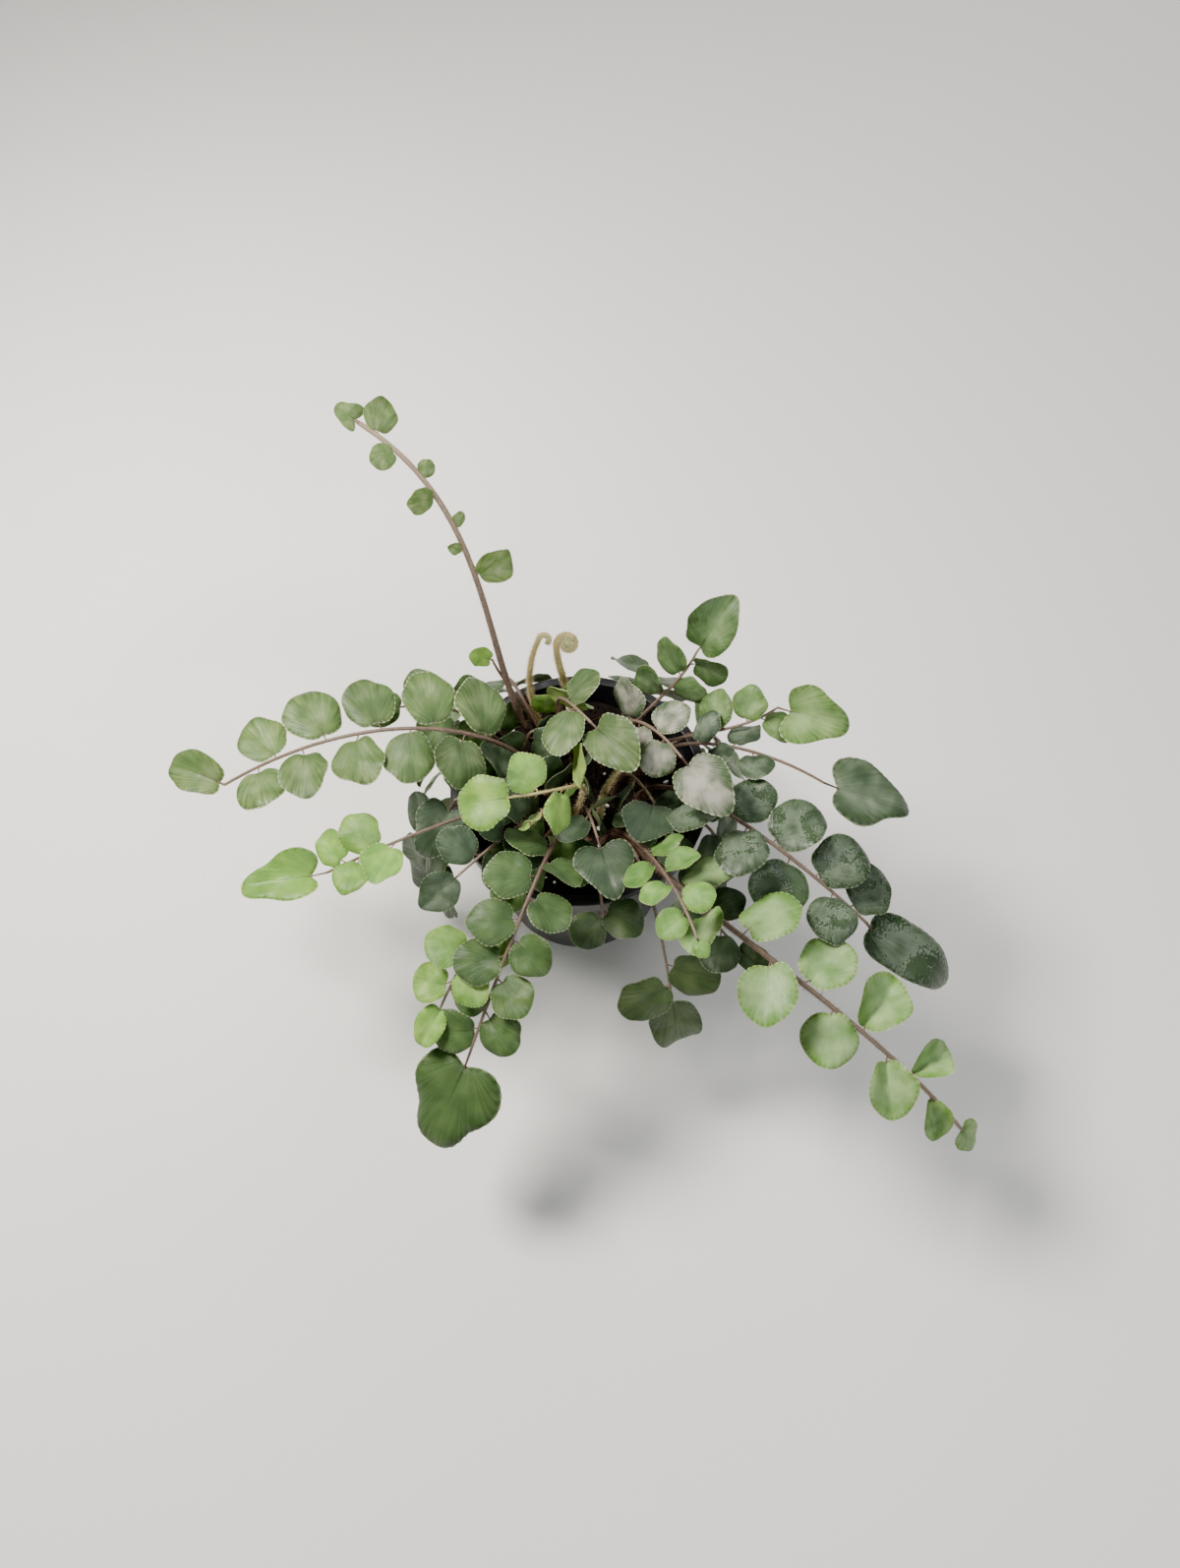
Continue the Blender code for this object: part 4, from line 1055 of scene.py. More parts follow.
# Each bloom colour paints a sheen as well as the leaf's own silvery grey
LEAF_FINISHES = {
    Tone.DARK: LeafFinish(
        "fern_leaf_mature_satin", mature="3c4d38", young="4c6032", streak_and_crease_shade="4f5547", bloom_and_sheen="8b9987",
        margin="99a883", under="5c6a45", bloom_and_sheen_share=0.5,
    ),
    Tone.SILVER: LeafFinish(
        "fern_leaf_bloomed_satin", mature="4a603b", young="728c48", streak_and_crease_shade="5c644f", bloom_and_sheen="8f8c82",
        margin="c3cda2", under="8a9f74", bloom_and_sheen_share=0.85, vein_depth=0.55,
    ),
    Tone.GREEN: LeafFinish(
        "fern_leaf_green_satin", mature="435b34", young="6c8c46", streak_and_crease_shade="566345", bloom_and_sheen="879a7a",
        margin="b0c08c", under="6c804c", bloom_and_sheen_share=0.4,
    ),
    Tone.LIME: LeafFinish(
        "fern_leaf_young_satin", mature="4f773b", young="86ad4d", streak_and_crease_shade="6f874b", bloom_and_sheen="9fb592",
        margin="c0d088", under="87a053", bloom_and_sheen_share=0.45, vein_depth=0.25, roughness=0.38,
    ),
    Tone.GOLD: LeafFinish(
        "fern_leaf_furled_satin", mature="8f9660", young="b3b47e", streak_and_crease_shade="7c8058", bloom_and_sheen="b9bb8f",
        margin="d0cca0", under="9aa06c",
    ),
}


@dataclass(frozen=True)
class StemFinish:
    """The wiry stem of a fern: a hard, ribbed skin, near black when old and straw-coloured when young.

    To the eye it is dull, with a thin line of light along each rib and rusty scales here and there.
    """

    name: str
    old: str
    scale: str
    young: str
    roughness: float = 0.5
    rib_turns: float = 9.0
    relief: float = 0.12 * MM

    def material(self) -> bpy.types.Material:
        """Mixes the stem's finish.

        Returns:
            The material, which reads the UV map and the tint of a frond.
        """
        recipe = Recipe(self.name, {"Specular IOR Level": 0.4, "Roughness": self.roughness})
        add = recipe.add
        flat = add("UVMap", {"uv_map": "blade"})
        tint = add("Attribute", {"attribute_name": "tint"})
        age = add("SeparateColor", links={"Color": tint})
        ribs, scales = (
            add(
                "TexNoise",
                {"Scale": 1.0, "Detail": detail},
                {"Vector": add("VectorMath", {**TIMES, 1: stretch}, {0: flat})},
            )
            for stretch, detail in (((self.rib_turns, 3.0, 1), 2.0), ((3.0, 7.0, 1), 3.0))
        )
        rusty = add("MapRange", {"From Min": 0.4, "From Max": 0.62}, {"Value": scales})
        bark = add("Mix", {**BLEND, "A": linear(self.old), "B": linear(self.scale)}, {"Factor": rusty})
        ripened = add("Mix", {**BLEND, "B": linear(self.young)}, {"A": bark, "Factor": age})
        bump = add("Bump", {"Strength": 0.6, "Distance": self.relief}, {"Height": ribs})
        return recipe.finish({"Base Color": ripened, "Normal": bump})


@dataclass(frozen=True)
class BristleFinish:
    """The bristles and scales of a fern's stem: dry, thin and half clear, so light catches their tips."""

    name: str
    root: str
    tip: str

    def material(self) -> bpy.types.Material:
        """Mixes the bristles' finish.

        Returns:
            The material, which grows paler along each bristle.
        """
        recipe = Recipe(self.name, {"Roughness": 0.55, "Sheen Weight": 0.3, "Specular IOR Level": 0.4})
        flat = recipe.add("UVMap", {"uv_map": "blade"})
        along = recipe.add("SeparateXYZ", links={0: flat}).outputs["Y"]
        paler = {**BLEND, "A": linear(self.root), "B": linear(self.tip)}
        return recipe.finish({"Base Color": recipe.add("Mix", paler, {"Factor": along})})


WIRY_STEM = StemFinish("fern_stem_wiry", old="2f2522", scale="6b5347", young="a5937a")
HAIRY_STEM = StemFinish("fern_stem_young_hairy", old="87804f", scale="a48c5c", young="b9b184")
BROWN_BRISTLE = BristleFinish("fern_bristle_brown", root="3c281d", tip="94714e")
GOLD_BRISTLE = BristleFinish("fern_bristle_golden", root="a68c58", tip="e2d5ae")


@dataclass(frozen=True)
class GrainFinish:
    """Loose potting matter, such as fibrous peat or expanded perlite: matt, and rough down to its grain.

    To the eye peat swallows light but for a few brown fibres, and perlite is chalk white with grey pits.
    """

    name: str
    dark: str
    light: str
    grain: float
    relief: float

    def material(self) -> bpy.types.Material:
        """Mixes the finish.

        Returns:
            The material, which reads Object coordinates.
        """
        recipe = Recipe(self.name, {"Roughness": 0.93, "Specular IOR Level": 0.25})
        add = recipe.add
        place = add("TexCoord").outputs["Object"]
        broad = add("TexNoise", {"Scale": 0.25 / self.grain, "Detail": 3.0}, {"Vector": place})
        fine = add(
            "TexNoise", {"Scale": 1.0 / self.grain, "Detail": 4.0, "Roughness": 0.7}, {"Vector": place}
        )
        half = add("Math", {**TIMES, 1: 0.5}, {0: fine})
        both = add("Math", {**TIMES_PLUS, 1: 0.5}, {0: broad, 2: half})
        share = add("MapRange", {"From Min": 0.38, "From Max": 0.68}, {"Value": both})
        mixed = add("Mix", {**BLEND, "A": linear(self.dark), "B": linear(self.light)}, {"Factor": share})
        bump = add("Bump", {"Strength": 0.8, "Distance": self.relief}, {"Height": fine})
        return recipe.finish({"Base Color": mixed, "Normal": bump})


PEAT = GrainFinish("peat_fibrous", dark="080504", light="1c130d", grain=1.2 * MM, relief=0.5 * MM)
PERLITE = GrainFinish("perlite_expanded", dark="b9b7ad", light="ecebe4", grain=0.7 * MM, relief=0.2 * MM)
FIBRE = GrainFinish("peat_fibre_dry", dark="3b2716", light="7c5a37", grain=1.0 * MM, relief=0.1 * MM)
STRAW = GrainFinish("straw_dry", dark="a98f4c", light="dcc98a", grain=0.8 * MM, relief=0.1 * MM)


@dataclass(frozen=True)
class PlasticFinish:
    """Black polypropylene of a nursery pot, injection-moulded in an etched mould.

    To the eye it is a soft black with a faint grain that spreads its highlights, scuffed paler and duller
    where it has been handled, and dusty towards the foot.
    """

    name: str = "polypropylene_black_moulded"
    body: str = "17181b"
    scuff: str = "3a3c40"
    dust: str = "4b443b"
    roughness: float = 0.4
    etch: float = 0.35 * MM
    etch_depth: float = 0.05 * MM
    scuff_size: float = 9 * MM
    dust_top: float = 0.4 * POT_HEIGHT

    def material(self) -> bpy.types.Material:
        """Mixes the finish.

        Returns:
            The material, which reads Object coordinates.
        """
        recipe = Recipe(self.name, {"IOR": 1.49, "Specular IOR Level": 0.5})
        add = recipe.add
        place = add("TexCoord").outputs["Object"]
        etch = add("TexNoise", {"Scale": 1 / self.etch, "Detail": 2.0}, {"Vector": place})
        squat = add("Mapping", {"vector_type": "POINT", "Scale": (1, 1, 3)}, {"Vector": place})
        rubbed = add(
            "TexNoise", {"Scale": 1 / self.scuff_size, "Detail": 6.0, "Roughness": 0.7}, {"Vector": squat}
        )
        wear = add("MapRange", {"From Min": 0.52, "From Max": 0.75}, {"Value": rubbed})
        worn = add("Mix", {**BLEND, "A": linear(self.body), "B": linear(self.scuff)}, {"Factor": wear})
        height = add("SeparateXYZ", links={0: place}).outputs["Z"]
        low = add("MapRange", {"From Min": self.dust_top, "From Max": 0.0, "To Max": 0.35}, {"Value": height})
        settled = add("Math", TIMES, {0: low, 1: rubbed})
        dusty = add("Mix", {**BLEND, "B": linear(self.dust)}, {"A": worn, "Factor": settled})
        rough = add(
            "MapRange", {"To Min": self.roughness, "To Max": self.roughness + 0.25}, {"Value": wear}
        )
        bump = add("Bump", {"Strength": 0.25, "Distance": self.etch_depth}, {"Height": etch})
        return recipe.finish({"Base Color": dusty, "Roughness": rough, "Normal": bump})


def new_object(name: str, data: bpy.types.ID) -> bpy.types.Object:
    """Puts an object into the scene.

    Args:
        name: Its name.
        data: Its mesh, light or camera.

    Returns:
        The object.
    """
    made = bpy.data.objects.new(name, data)
    bpy.context.scene.collection.objects.link(made)
    return made


def new_mesh(name: str, shape: bmesh.types.BMesh) -> bpy.types.Mesh:
    """Turns a shape into a mesh.

    Args:
        name: The mesh's name.
        shape: The shape, which is freed.

    Returns:
        The mesh.
    """
    mesh = bpy.data.meshes.new(name)
    shape.to_mesh(mesh)
    shape.free()
    return mesh


def new_piece(
    name: str, shape: bmesh.types.BMesh, materials: list[bpy.types.Material], node: str
) -> bpy.types.Object:
    """Makes a shape a piece of the model that rides on its body and stands for a CAD node.

    Args:
        name: The piece's name.
        shape: Its shape in place, which is freed.
        materials: Its materials in the order of the faces' numbers.
        node: The node that it replaces.

    Returns:
        The piece.
    """
    mesh = new_mesh(name, shape)
    for material in materials:
        mesh.materials.append(material)
    piece = new_object(name, mesh)
    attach(piece, BODY)
    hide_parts(node)
    return piece


def smooth(shape: bmesh.types.BMesh, sharp_angle: float) -> None:
    """Shades a shape smooth but for its sharp edges.

    Args:
        shape: The shape.
        sharp_angle: How far the faces turn at an edge that stays sharp.
    """
    for face in shape.faces:
        face.smooth = True
    for edge in shape.edges:
        edge.smooth = len(edge.link_faces) != 2 or edge.calc_face_angle(0) < sharp_angle


def absorb(whole: bmesh.types.BMesh, part: bmesh.types.BMesh) -> None:
    """Adds a shape to another one.

    Args:
        whole: The shape that grows.
        part: The shape that is added, and freed.
    """
    mesh = new_mesh("part", part)
    whole.from_mesh(mesh)
    bpy.data.meshes.remove(mesh)


def spin_closed(shape: bmesh.types.BMesh, steps: int) -> None:
    """Turns a profile all the way round the upright axis and seals it.

    Args:
        shape: The profile, in the plane of X and Z.
        steps: How many faces go round.
    """
    bmesh.ops.spin(
        shape, geom=[*shape.verts, *shape.edges], cent=(0, 0, 0), axis=UP, angle=FULL_TURN, steps=steps,
        use_merge=True,
    )
    bmesh.ops.remove_doubles(shape, verts=shape.verts, dist=SEAM)
    bmesh.ops.recalc_face_normals(shape, faces=shape.faces)
    put_in_order(shape)


class Cloth(Enum):
    """The number of each material in a frond's list."""

    LEAF = 0
    STEM = 1
    BRISTLE = 2


@dataclass
class Sprout:
    """A mesh with the layers that a frond's materials read."""

    shape: bmesh.types.BMesh = field(default_factory=bmesh.new)

    def __post_init__(self) -> None:
        """Adds the UV map and the two colour attributes."""
        self.flat = self.shape.loops.layers.uv.new("blade")
        self.leaf = self.shape.verts.layers.float_color.new("leaf")
        self.tint = self.shape.verts.layers.float_color.new("tint")

    def unwrap(self, places: dict[bmesh.types.BMVert, tuple[float, float]], cloth: Cloth) -> None:
        """Gives every face its material and every corner its place in the UV map.

        Args:
            places: The place of each point.
            cloth: The material.
        """
        for face in self.shape.faces:
            face.material_index = cloth.value
            for loop in face.loops:
                loop[self.flat].uv = places[loop.vert]


@dataclass(frozen=True)
class BladeMaker:
    """Shapes fine leaflets: a thin curved blade with a toothed, slightly rolled margin.

    Depths and rolls are shares of the blade's length, and the angles of the fold are in degrees. A
    leaflet's luck, times a large number, shifts each noise so that no two leaflets match.
    """

    teeth: int = 32
    points_per_tooth: int = 3
    rings: tuple[float, ...] = (0.3, 0.58, 0.8, 0.93, 1.0)
    tooth_depth: float = 0.017
    tooth_rise: tuple[float, ...] = (0.0, 0.75, 1.0)
    notch_depth: float = 0.14
    notch_width: float = 0.28
    shoulder: float = 0.06
    shoulder_place: float = 2.4
    smooth_base: float = 0.5
    raggedness: float = 0.1
    ragged_turns: float = 1.5
    lopsided: float = 0.06
    plain_crest: float = 0.6
    tooth_variety: float = 0.9
    ripple: float = 0.09
    ripple_heart: float = 0.25
    quilt: float = 0.028
    quilt_turns: float = 4.6
    flute: float = 0.0015
    roll: tuple[float, float] = (0.0, 0.055)
    roll_start: float = 0.68
    fold: float = 0.012
    fold_width: float = 0.22
    hinge_softness: float = 0.04
    side_crease: float = 0.35
    waviness: float = 1.7
    pleat: tuple[float, float] = (-8, 14)
    end_pleat: tuple[float, float] = (10, 20)
    shut: tuple[float, float] = (48, 66)
    half_middle: float = 0.2 * MM
    half_rim: float = 0.07 * MM

    def template(self) -> tuple[bmesh.types.BMesh, list[tuple[float, float, int]]]:
        """Makes the mesh that every blade starts from.

        Returns:
            A closed ball and, for each of its points, its turn about the middle, how far out it lies
            and 1 on the upper side or -1 on the lower one.
        """
        count = len(self.rings)
        shape = new_ball(self.teeth * self.points_per_tooth, 2 * count + 1)
        spots = []
        for vert in shape.verts:
            level = round(math.acos(max(-1.0, min(1.0, vert.co.z))) * (2 * count + 1) / math.pi)
            upper = 1 if level <= count else -1
            ring = level if upper > 0 else 2 * count + 1 - level
            out = self.rings[ring - 1] if ring else 0.0
            turn = (math.atan2(vert.co.x, -vert.co.y) / FULL_TURN) % 1.0 if ring else 0.0
            spots.append((turn, out, upper))
        return shape, spots

    def outline(
        self, leaflet: Leaflet, turn: float, luck: float, toothed: bool
    ) -> tuple[float, float, float]:
        """Adds teeth, the notch at the base and a lifelike unevenness to the smooth outline.

        Args:
            leaflet: The leaflet.
            turn: 0 to 1, from the base round by the right side.
            luck: The leaflet's own draw, 0 to 1.
            toothed: Whether its margin has teeth.

        Returns:
            How far the point lies across and along the blade, and 1 on a tooth or 0 in a notch.
        """
        across, along = leaflet.rim(turn)
        angle = FULL_TURN * turn
        step = round(turn * self.teeth * self.points_per_tooth)
        step = (step if turn <= 0.5 else -step) % self.points_per_tooth
        crest = self.tooth_rise[step] if toothed else self.plain_crest
        variety = self.tooth_variety * noise.noise(Vector((9 * turn, 31 * luck, 0)))
        depth = self.tooth_depth * (1 + variety)
        from_base = min(angle, FULL_TURN - angle)
        wide = self.ragged_turns
        uneven = noise.noise(Vector((wide * math.cos(angle), wide * math.sin(angle), 60 * luck)))
        reach = 1 + self.raggedness * uneven + self.lopsided * (luck - 0.5) * math.sin(angle)
        reach -= depth * (1 - crest) * min(1.0, from_base / self.smooth_base) * toothed
        reach -= self.notch_depth * math.exp(-((from_base / self.notch_width) ** 2))
        reach += self.shoulder * math.exp(-((from_base / self.notch_width - self.shoulder_place) ** 2))
        return across * reach, leaflet.middle + (along - leaflet.middle) * reach, crest

    def blade(
        self, leaflet: Leaflet, age: float, ageing: Ageing, number: int, chance: random.Random
    ) -> tuple[Sprout, Vector]:
        """Shapes one leaflet.

        Args:
            leaflet: Its form and place.
            age: 0 when old to 1 when young.
            ageing: How its frond looks.
            number: 0 for the frond's last leaflet, and up from 1 for the others, counted from the tip.
            chance: The source of its draws.

        Returns:
            The blade, in place, and the point just inside its base that its stalk reaches.
        """
        shape, spots = self.template()
        sprout = Sprout(shape)
        luck = chance.random()
        roll = chance.uniform(*self.roll)
        shut = 0 < number <= ageing.folded
        open_pleat = self.pleat if number else self.end_pleat
        pleat = math.radians(chance.uniform(*(self.shut if shut else open_pleat)))
        crease = self.side_crease if number else 1.0
        count = self.teeth * self.points_per_tooth
        rims = [self.outline(leaflet, step / count, luck, ageing.toothed) for step in range(count)]
        places = {}
        for vert, (turn, out, upper) in zip(shape.verts, spots):
            rim_across, rim_along, crest = rims[round(turn * count) % count]
            across = rim_across * out
            along = leaflet.middle + (rim_along - leaflet.middle) * out
            point = leaflet.surface(across, along, turn, out)
            point.z += leaflet.length * self.relief(leaflet, across, along, turn, out, luck)
            rolled = max(0.0, out - self.roll_start) / (1 - self.roll_start)
            point.z -= leaflet.length * roll * rolled * rolled
            bend = pleat * (1 - 0.5 * along / leaflet.length)
            hinge = math.hypot(across, self.hinge_softness * leaflet.width)
            spread = hinge - self.fold_width * leaflet.width
            point.z += spread * math.sin(bend)
            point.x *= math.cos(bend)
            if out == self.rings[-2] and not round(turn * count) % count:
                heel = leaflet.place @ point
            thickness = self.half_rim + (self.half_middle - self.half_rim) * math.sqrt(1 - out * out)
            point.z += upper * thickness
            vert.co = leaflet.place @ point
            vert[sprout.leaf] = (out, luck, 0.0 if upper > 0 else 1.0, crest)
            vert[sprout.tint] = (age, ageing.spots, ageing.bloom_and_sheen, crease)
            places[vert] = (across / leaflet.length + 0.5, along / leaflet.length)
        sprout.unwrap(places, Cloth.LEAF)
        bmesh.ops.recalc_face_normals(shape, faces=shape.faces)
        return sprout, heel

    def relief(
        self, leaflet: Leaflet, across: float, along: float, turn: float, out: float, luck: float
    ) -> float:
        """Raises and lowers the blade beyond its main bend.

        Args:
            leaflet: The leaflet.
            across: The point's place across the blade.
            along: Its place along the blade.
            turn: Its turn about the middle.
            out: 0 at the middle to 1 at the rim.
            luck: The leaflet's own draw, 0 to 1.

        Returns:
            The height as a share of the blade's length.
        """
        side = across / (0.5 * leaflet.width)
        scale = self.waviness
        waves = Vector((scale * across / leaflet.length, scale * along / leaflet.length, 47 * luck))
        height = self.ripple * noise.noise(waves) * (self.ripple_heart + out)
        height += self.quilt * noise.noise(self.quilt_turns / scale * waves)
        height += self.fold * (0.5 - math.exp(-((side / self.fold_width) ** 2)))
        return height + self.flute * math.cos(0.5 * self.teeth * FULL_TURN * turn) * out**4


@dataclass(frozen=True)
class StemMaker:
    """Shapes fine stems, the short stalks of their leaflets and their bristles."""

    sides: int = 8
    fineness: int = 4
    knuckle: float = 0.06
    stalk_sides: int = 6
    stalk_radius: float = 0.32 * MM
    stalk_taper: float = 0.6
    bristle_radius: float = 0.06 * MM
    bristle_length: tuple[float, float] = (0.6 * MM, 1.5 * MM)
    bristle_lean: tuple[float, float] = (0.2, 1.0)
    full_lean: float = 0.55
    bristle_taper: float = 0.2
    bristle_sunk: tuple[float, float] = (0.7, 0.9)
    young_length: float = 0.75
    shortening: float = 0.5
    bristle_sides: int = 3
    density: float = 1.6 / MM
    thinning: float = 1.6
    rib_pitch: float = 3 * MM
    furled_radius: tuple[float, float] = (0.5 * MM, 0.85 * MM)
    furled_heart: float = 0.3
    furled_pitch: float = 1.1 * MM
    furled_place: tuple[float, float] = (0.75, 0.7)
    furled_leaf: tuple[float, ...] = (0.4, 0.5, 0.0, 1.0)
    # The tint's third share is the bloom with its painted sheen
    furled_tint: tuple[float, ...] = (0.5, 0.0, 0.4, 0.0)

    def tube(self, frond: Frond, points: list[Vector], tint: tuple[float, float]) -> Sprout:
        """Shapes the stem.

        Args:
            frond: The frond.
            points: The stem's line.
            tint: How young it is at its foot and at its tip.

        Returns:
            The stem, in place.
        """
        sprout = Sprout()
        shape = sprout.shape
        bmesh.ops.create_cone(
            shape, cap_ends=True, segments=self.sides, radius1=1, radius2=1, depth=len(points) - 1
        )
        rails = [edge for edge in shape.edges if abs(edge.verts[0].co.z - edge.verts[1].co.z) > 0.5]
        bmesh.ops.subdivide_edges(shape, edges=rails, cuts=len(points) - 2)
        turns = self.frames(points)
        length = curve_length(points)
        half = 0.5 * (len(points) - 1)
        places = {}
        for vert in shape.verts:
            step = round(vert.co.z + half)
            share = step / (len(points) - 1)
            uneven = noise.noise(Vector((vert.co.x, vert.co.y, 0.9 * step + 13 * frond.crown.x / MM)))
            radius = frond.radius(share) * (1 + self.knuckle * uneven)
            round_stem = math.atan2(vert.co.y, vert.co.x) / FULL_TURN
            places[vert] = (round_stem, length * share / self.rib_pitch)
            vert.co = points[step] + turns[step] @ Vector((vert.co.x, vert.co.y, 0)) * radius
            vert[sprout.tint] = (tint[0] + (tint[1] - tint[0]) * share**2, 0.0, 0.0, 1.0)
        sprout.unwrap(places, Cloth.STEM)
        bmesh.ops.recalc_face_normals(shape, faces=shape.faces)
        return sprout

    @staticmethod
    def frames(points: list[Vector]) -> list[Matrix]:
        """Carries a frame along a line without twisting it.

        Args:
            points: The line's points.

        Returns:
            A rotation for each, whose Z runs along the line.
        """
        ways = directions(points)
        turn = ways[0].to_track_quat("Z", "X")
        found = [turn.to_matrix()]
        for before, after in zip(ways, ways[1:]):
            turn = before.rotation_difference(after) @ turn
            found.append(turn.to_matrix())
        return found

    @staticmethod
    def rod(
        start: Vector, end: Vector, radii: tuple[float, float], sides: int, cloth: Cloth, tint: float
    ) -> Sprout:
        """Shapes a straight, tapered rod: a stalk or a bristle.

        Args:
            start: Its foot.
            end: Its tip.
            radii: Its radius at the foot and at the tip.
            sides: How many sides it has.
            cloth: Its material.
            tint: How young it is.

        Returns:
            The rod, in place.
        """
        sprout = Sprout()
        way = end - start
        turn = way.to_track_quat("Z", "X").to_matrix().to_4x4()
        bmesh.ops.create_cone(
            sprout.shape, cap_ends=True, segments=sides, radius1=radii[0], radius2=radii[1], depth=way.length
        )
        places = {}
        for vert in sprout.shape.verts:
            places[vert] = (math.atan2(vert.co.y, vert.co.x) / FULL_TURN, 0.0 if vert.co.z < 0 else 1.0)
            vert[sprout.tint] = (tint, 0.0, 0.0, 1.0)
        sprout.unwrap(places, cloth)
        bmesh.ops.transform(
            sprout.shape, matrix=Matrix.Translation(0.5 * (start + end)) @ turn, verts=sprout.shape.verts
        )
        return sprout

    def stalk(
        self, leaflet: Leaflet, points: list[Vector], heel: Vector, radius: float, tint: float
    ) -> Sprout:
        """Joins a leaflet to its stem.

        Args:
            leaflet: The leaflet.
            points: The stem's line.
            heel: The point of the blade that the stalk reaches.
            radius: The stalk's radius at the stem.
            tint: How young the stalk is.

        Returns:
            The stalk, in place.
        """
        root = leaflet.place.translation
        start = min(points, key=lambda point: (point - root).length_squared)
        return self.rod(start, heel, (radius, self.stalk_taper * radius), self.stalk_sides, Cloth.STEM, tint)

    def bristles(
        self, frond: Frond, points: list[Vector], ageing: Ageing, chance: random.Random
    ) -> Iterator[Sprout]:
        """Scatters bristles over the stem above the peat, thinner towards the tip of an open frond.

        Args:
            frond: The frond.
            points: The stem's line.
            ageing: How the frond looks.
            chance: The source of its draws.

        Yields:
            Each bristle, in place.
        """
        length = curve_length(points)
        young = frond.coil > 0
        start = STEM_DEPTH + STEM_COLLAR
        count = round(ageing.bristly * self.density * (length - start))
        for _ in range(count):
            share = chance.random() if young else chance.random() ** self.thinning
            way_along = start + share * (length - start)
            foot, direction = along_curve(points, way_along)
            outward = direction.orthogonal()
            outward.rotate(Matrix.Rotation(chance.uniform(0, FULL_TURN), 3, direction))
            lean = chance.uniform(*self.bristle_lean) * self.full_lean
            way = (outward + lean * direction).normalized()
            reach = chance.uniform(*self.bristle_length)
            reach *= self.young_length if young else 1 - self.shortening * share
            radius = frond.radius(way_along / length)
            start_at, end_at = (foot + sunk * radius * outward for sunk in self.bristle_sunk)
            radii = (self.bristle_radius, self.bristle_taper * self.bristle_radius)
            yield self.rod(start_at, end_at + reach * way, radii, self.bristle_sides, Cloth.BRISTLE, share)

    def furled(self, frond: Frond, points: list[Vector], chance: random.Random) -> Iterator[Sprout]:
        """Packs furled leaflets against the inner side of a crozier's coil.

        Args:
            frond: The crozier.
            points: The stem's line.
            chance: The source of its draws.

        Yields:
            Each furled leaflet, in place.
        """
        length = curve_length(points)
        centre = frond.tip + Vector((frond.coil, 0, 0))
        coiled = curve_length([frond.tip, *frond.coil_points(self.fineness)])
        for number in range(int(coiled / self.furled_pitch)):
            foot, direction = along_curve(points, length - number * self.furled_pitch)
            inward = centre - foot
            inward = (inward - inward.dot(direction) * direction).normalized()
            side = direction.cross(inward) * (1 if number % 2 else -1)
            sprout = Sprout()
            size = chance.uniform(*self.furled_radius) if number else self.furled_heart * frond.coil
            bmesh.ops.create_icosphere(sprout.shape, subdivisions=2, radius=size)
            reach = frond.radius(1 - number * self.furled_pitch / length)
            middle = foot + reach * (self.furled_place[0] * inward + self.furled_place[1] * side)
            places = {}
            for vert in sprout.shape.verts:
                places[vert] = (0.5 + 0.5 * vert.co.x / size, 0.5 + 0.5 * vert.co.y / size)
                vert[sprout.leaf] = self.furled_leaf
                vert[sprout.tint] = self.furled_tint
                vert.co = middle + vert.co
            sprout.unwrap(places, Cloth.LEAF)
            yield sprout


@dataclass
class Plant:
    """All the fronds, each one fine piece in the place of its solid."""

    fronds: tuple[Frond, ...]
    blades: BladeMaker = BladeMaker()
    stems: StemMaker = StemMaker()
    sharp_angle: float = math.radians(50)
    ripening: float = 1.6
    age_luck: float = 0.08
    stalk_share: float = 0.03

    def __post_init__(self) -> None:
        """Lays the leaflets out and mixes the finishes."""
        self.laid = lay_out(self.fronds)
        self.leaves = {tone: finish.material() for tone, finish in LEAF_FINISHES.items()}
        self.wiry = WIRY_STEM.material()
        self.hairy = HAIRY_STEM.material()
        self.brown = BROWN_BRISTLE.material()
        self.gold = GOLD_BRISTLE.material()

    def build(self, frond: Frond) -> bpy.types.Object:
        """Builds and dresses one frond.

        Args:
            frond: The frond.

        Returns:
            The piece.
        """
        chance = random.Random(f"{frond.name} fine {SEED}")
        crozier = frond.coil > 0
        ageing = CROZIER_AGEING if crozier else AGEING.get(frond.name, PLAIN_AGEING)
        points = frond.stem(self.stems.fineness)
        length = curve_length(points)
        whole = bmesh.new()
        absorb(whole, self.stems.tube(frond, points, (0.0, ageing.straw)).shape)
        for number, leaflet in enumerate(self.laid[frond.name], 0 if frond.end_blade else 1):
            root = leaflet.place.translation
            share = max(0.0, 1 - (root - frond.tip).length / length)
            age = ageing.root + (ageing.tip - ageing.root) * share**self.ripening
            age = min(1.0, max(0.0, age + chance.uniform(-self.age_luck, self.age_luck)))
            blade, heel = self.blades.blade(leaflet, age, ageing, number, chance)
            slim = min(self.stems.stalk_radius, self.stalk_share * leaflet.length)
            radius = slim if number else frond.radius(1)
            absorb(whole, blade.shape)
            absorb(whole, self.stems.stalk(leaflet, points, heel, radius, 0.5 * age).shape)
        for sprout in self.stems.bristles(frond, points, ageing, chance):
            absorb(whole, sprout.shape)
        for sprout in self.stems.furled(frond, points, chance) if crozier else ():
            absorb(whole, sprout.shape)
        smooth(whole, self.sharp_angle)
        materials = [
            self.leaves[frond.tone],
            self.hairy if ageing.golden else self.wiry,
            self.gold if ageing.golden else self.brown,
        ]
        return new_piece(f"fine_{frond.name}", whole, materials, frond.name)

    def build_all(self) -> Iterator[bpy.types.Object]:
        """Builds the fronds one after another."""
        for frond in self.fronds:
            yield self.build(frond)


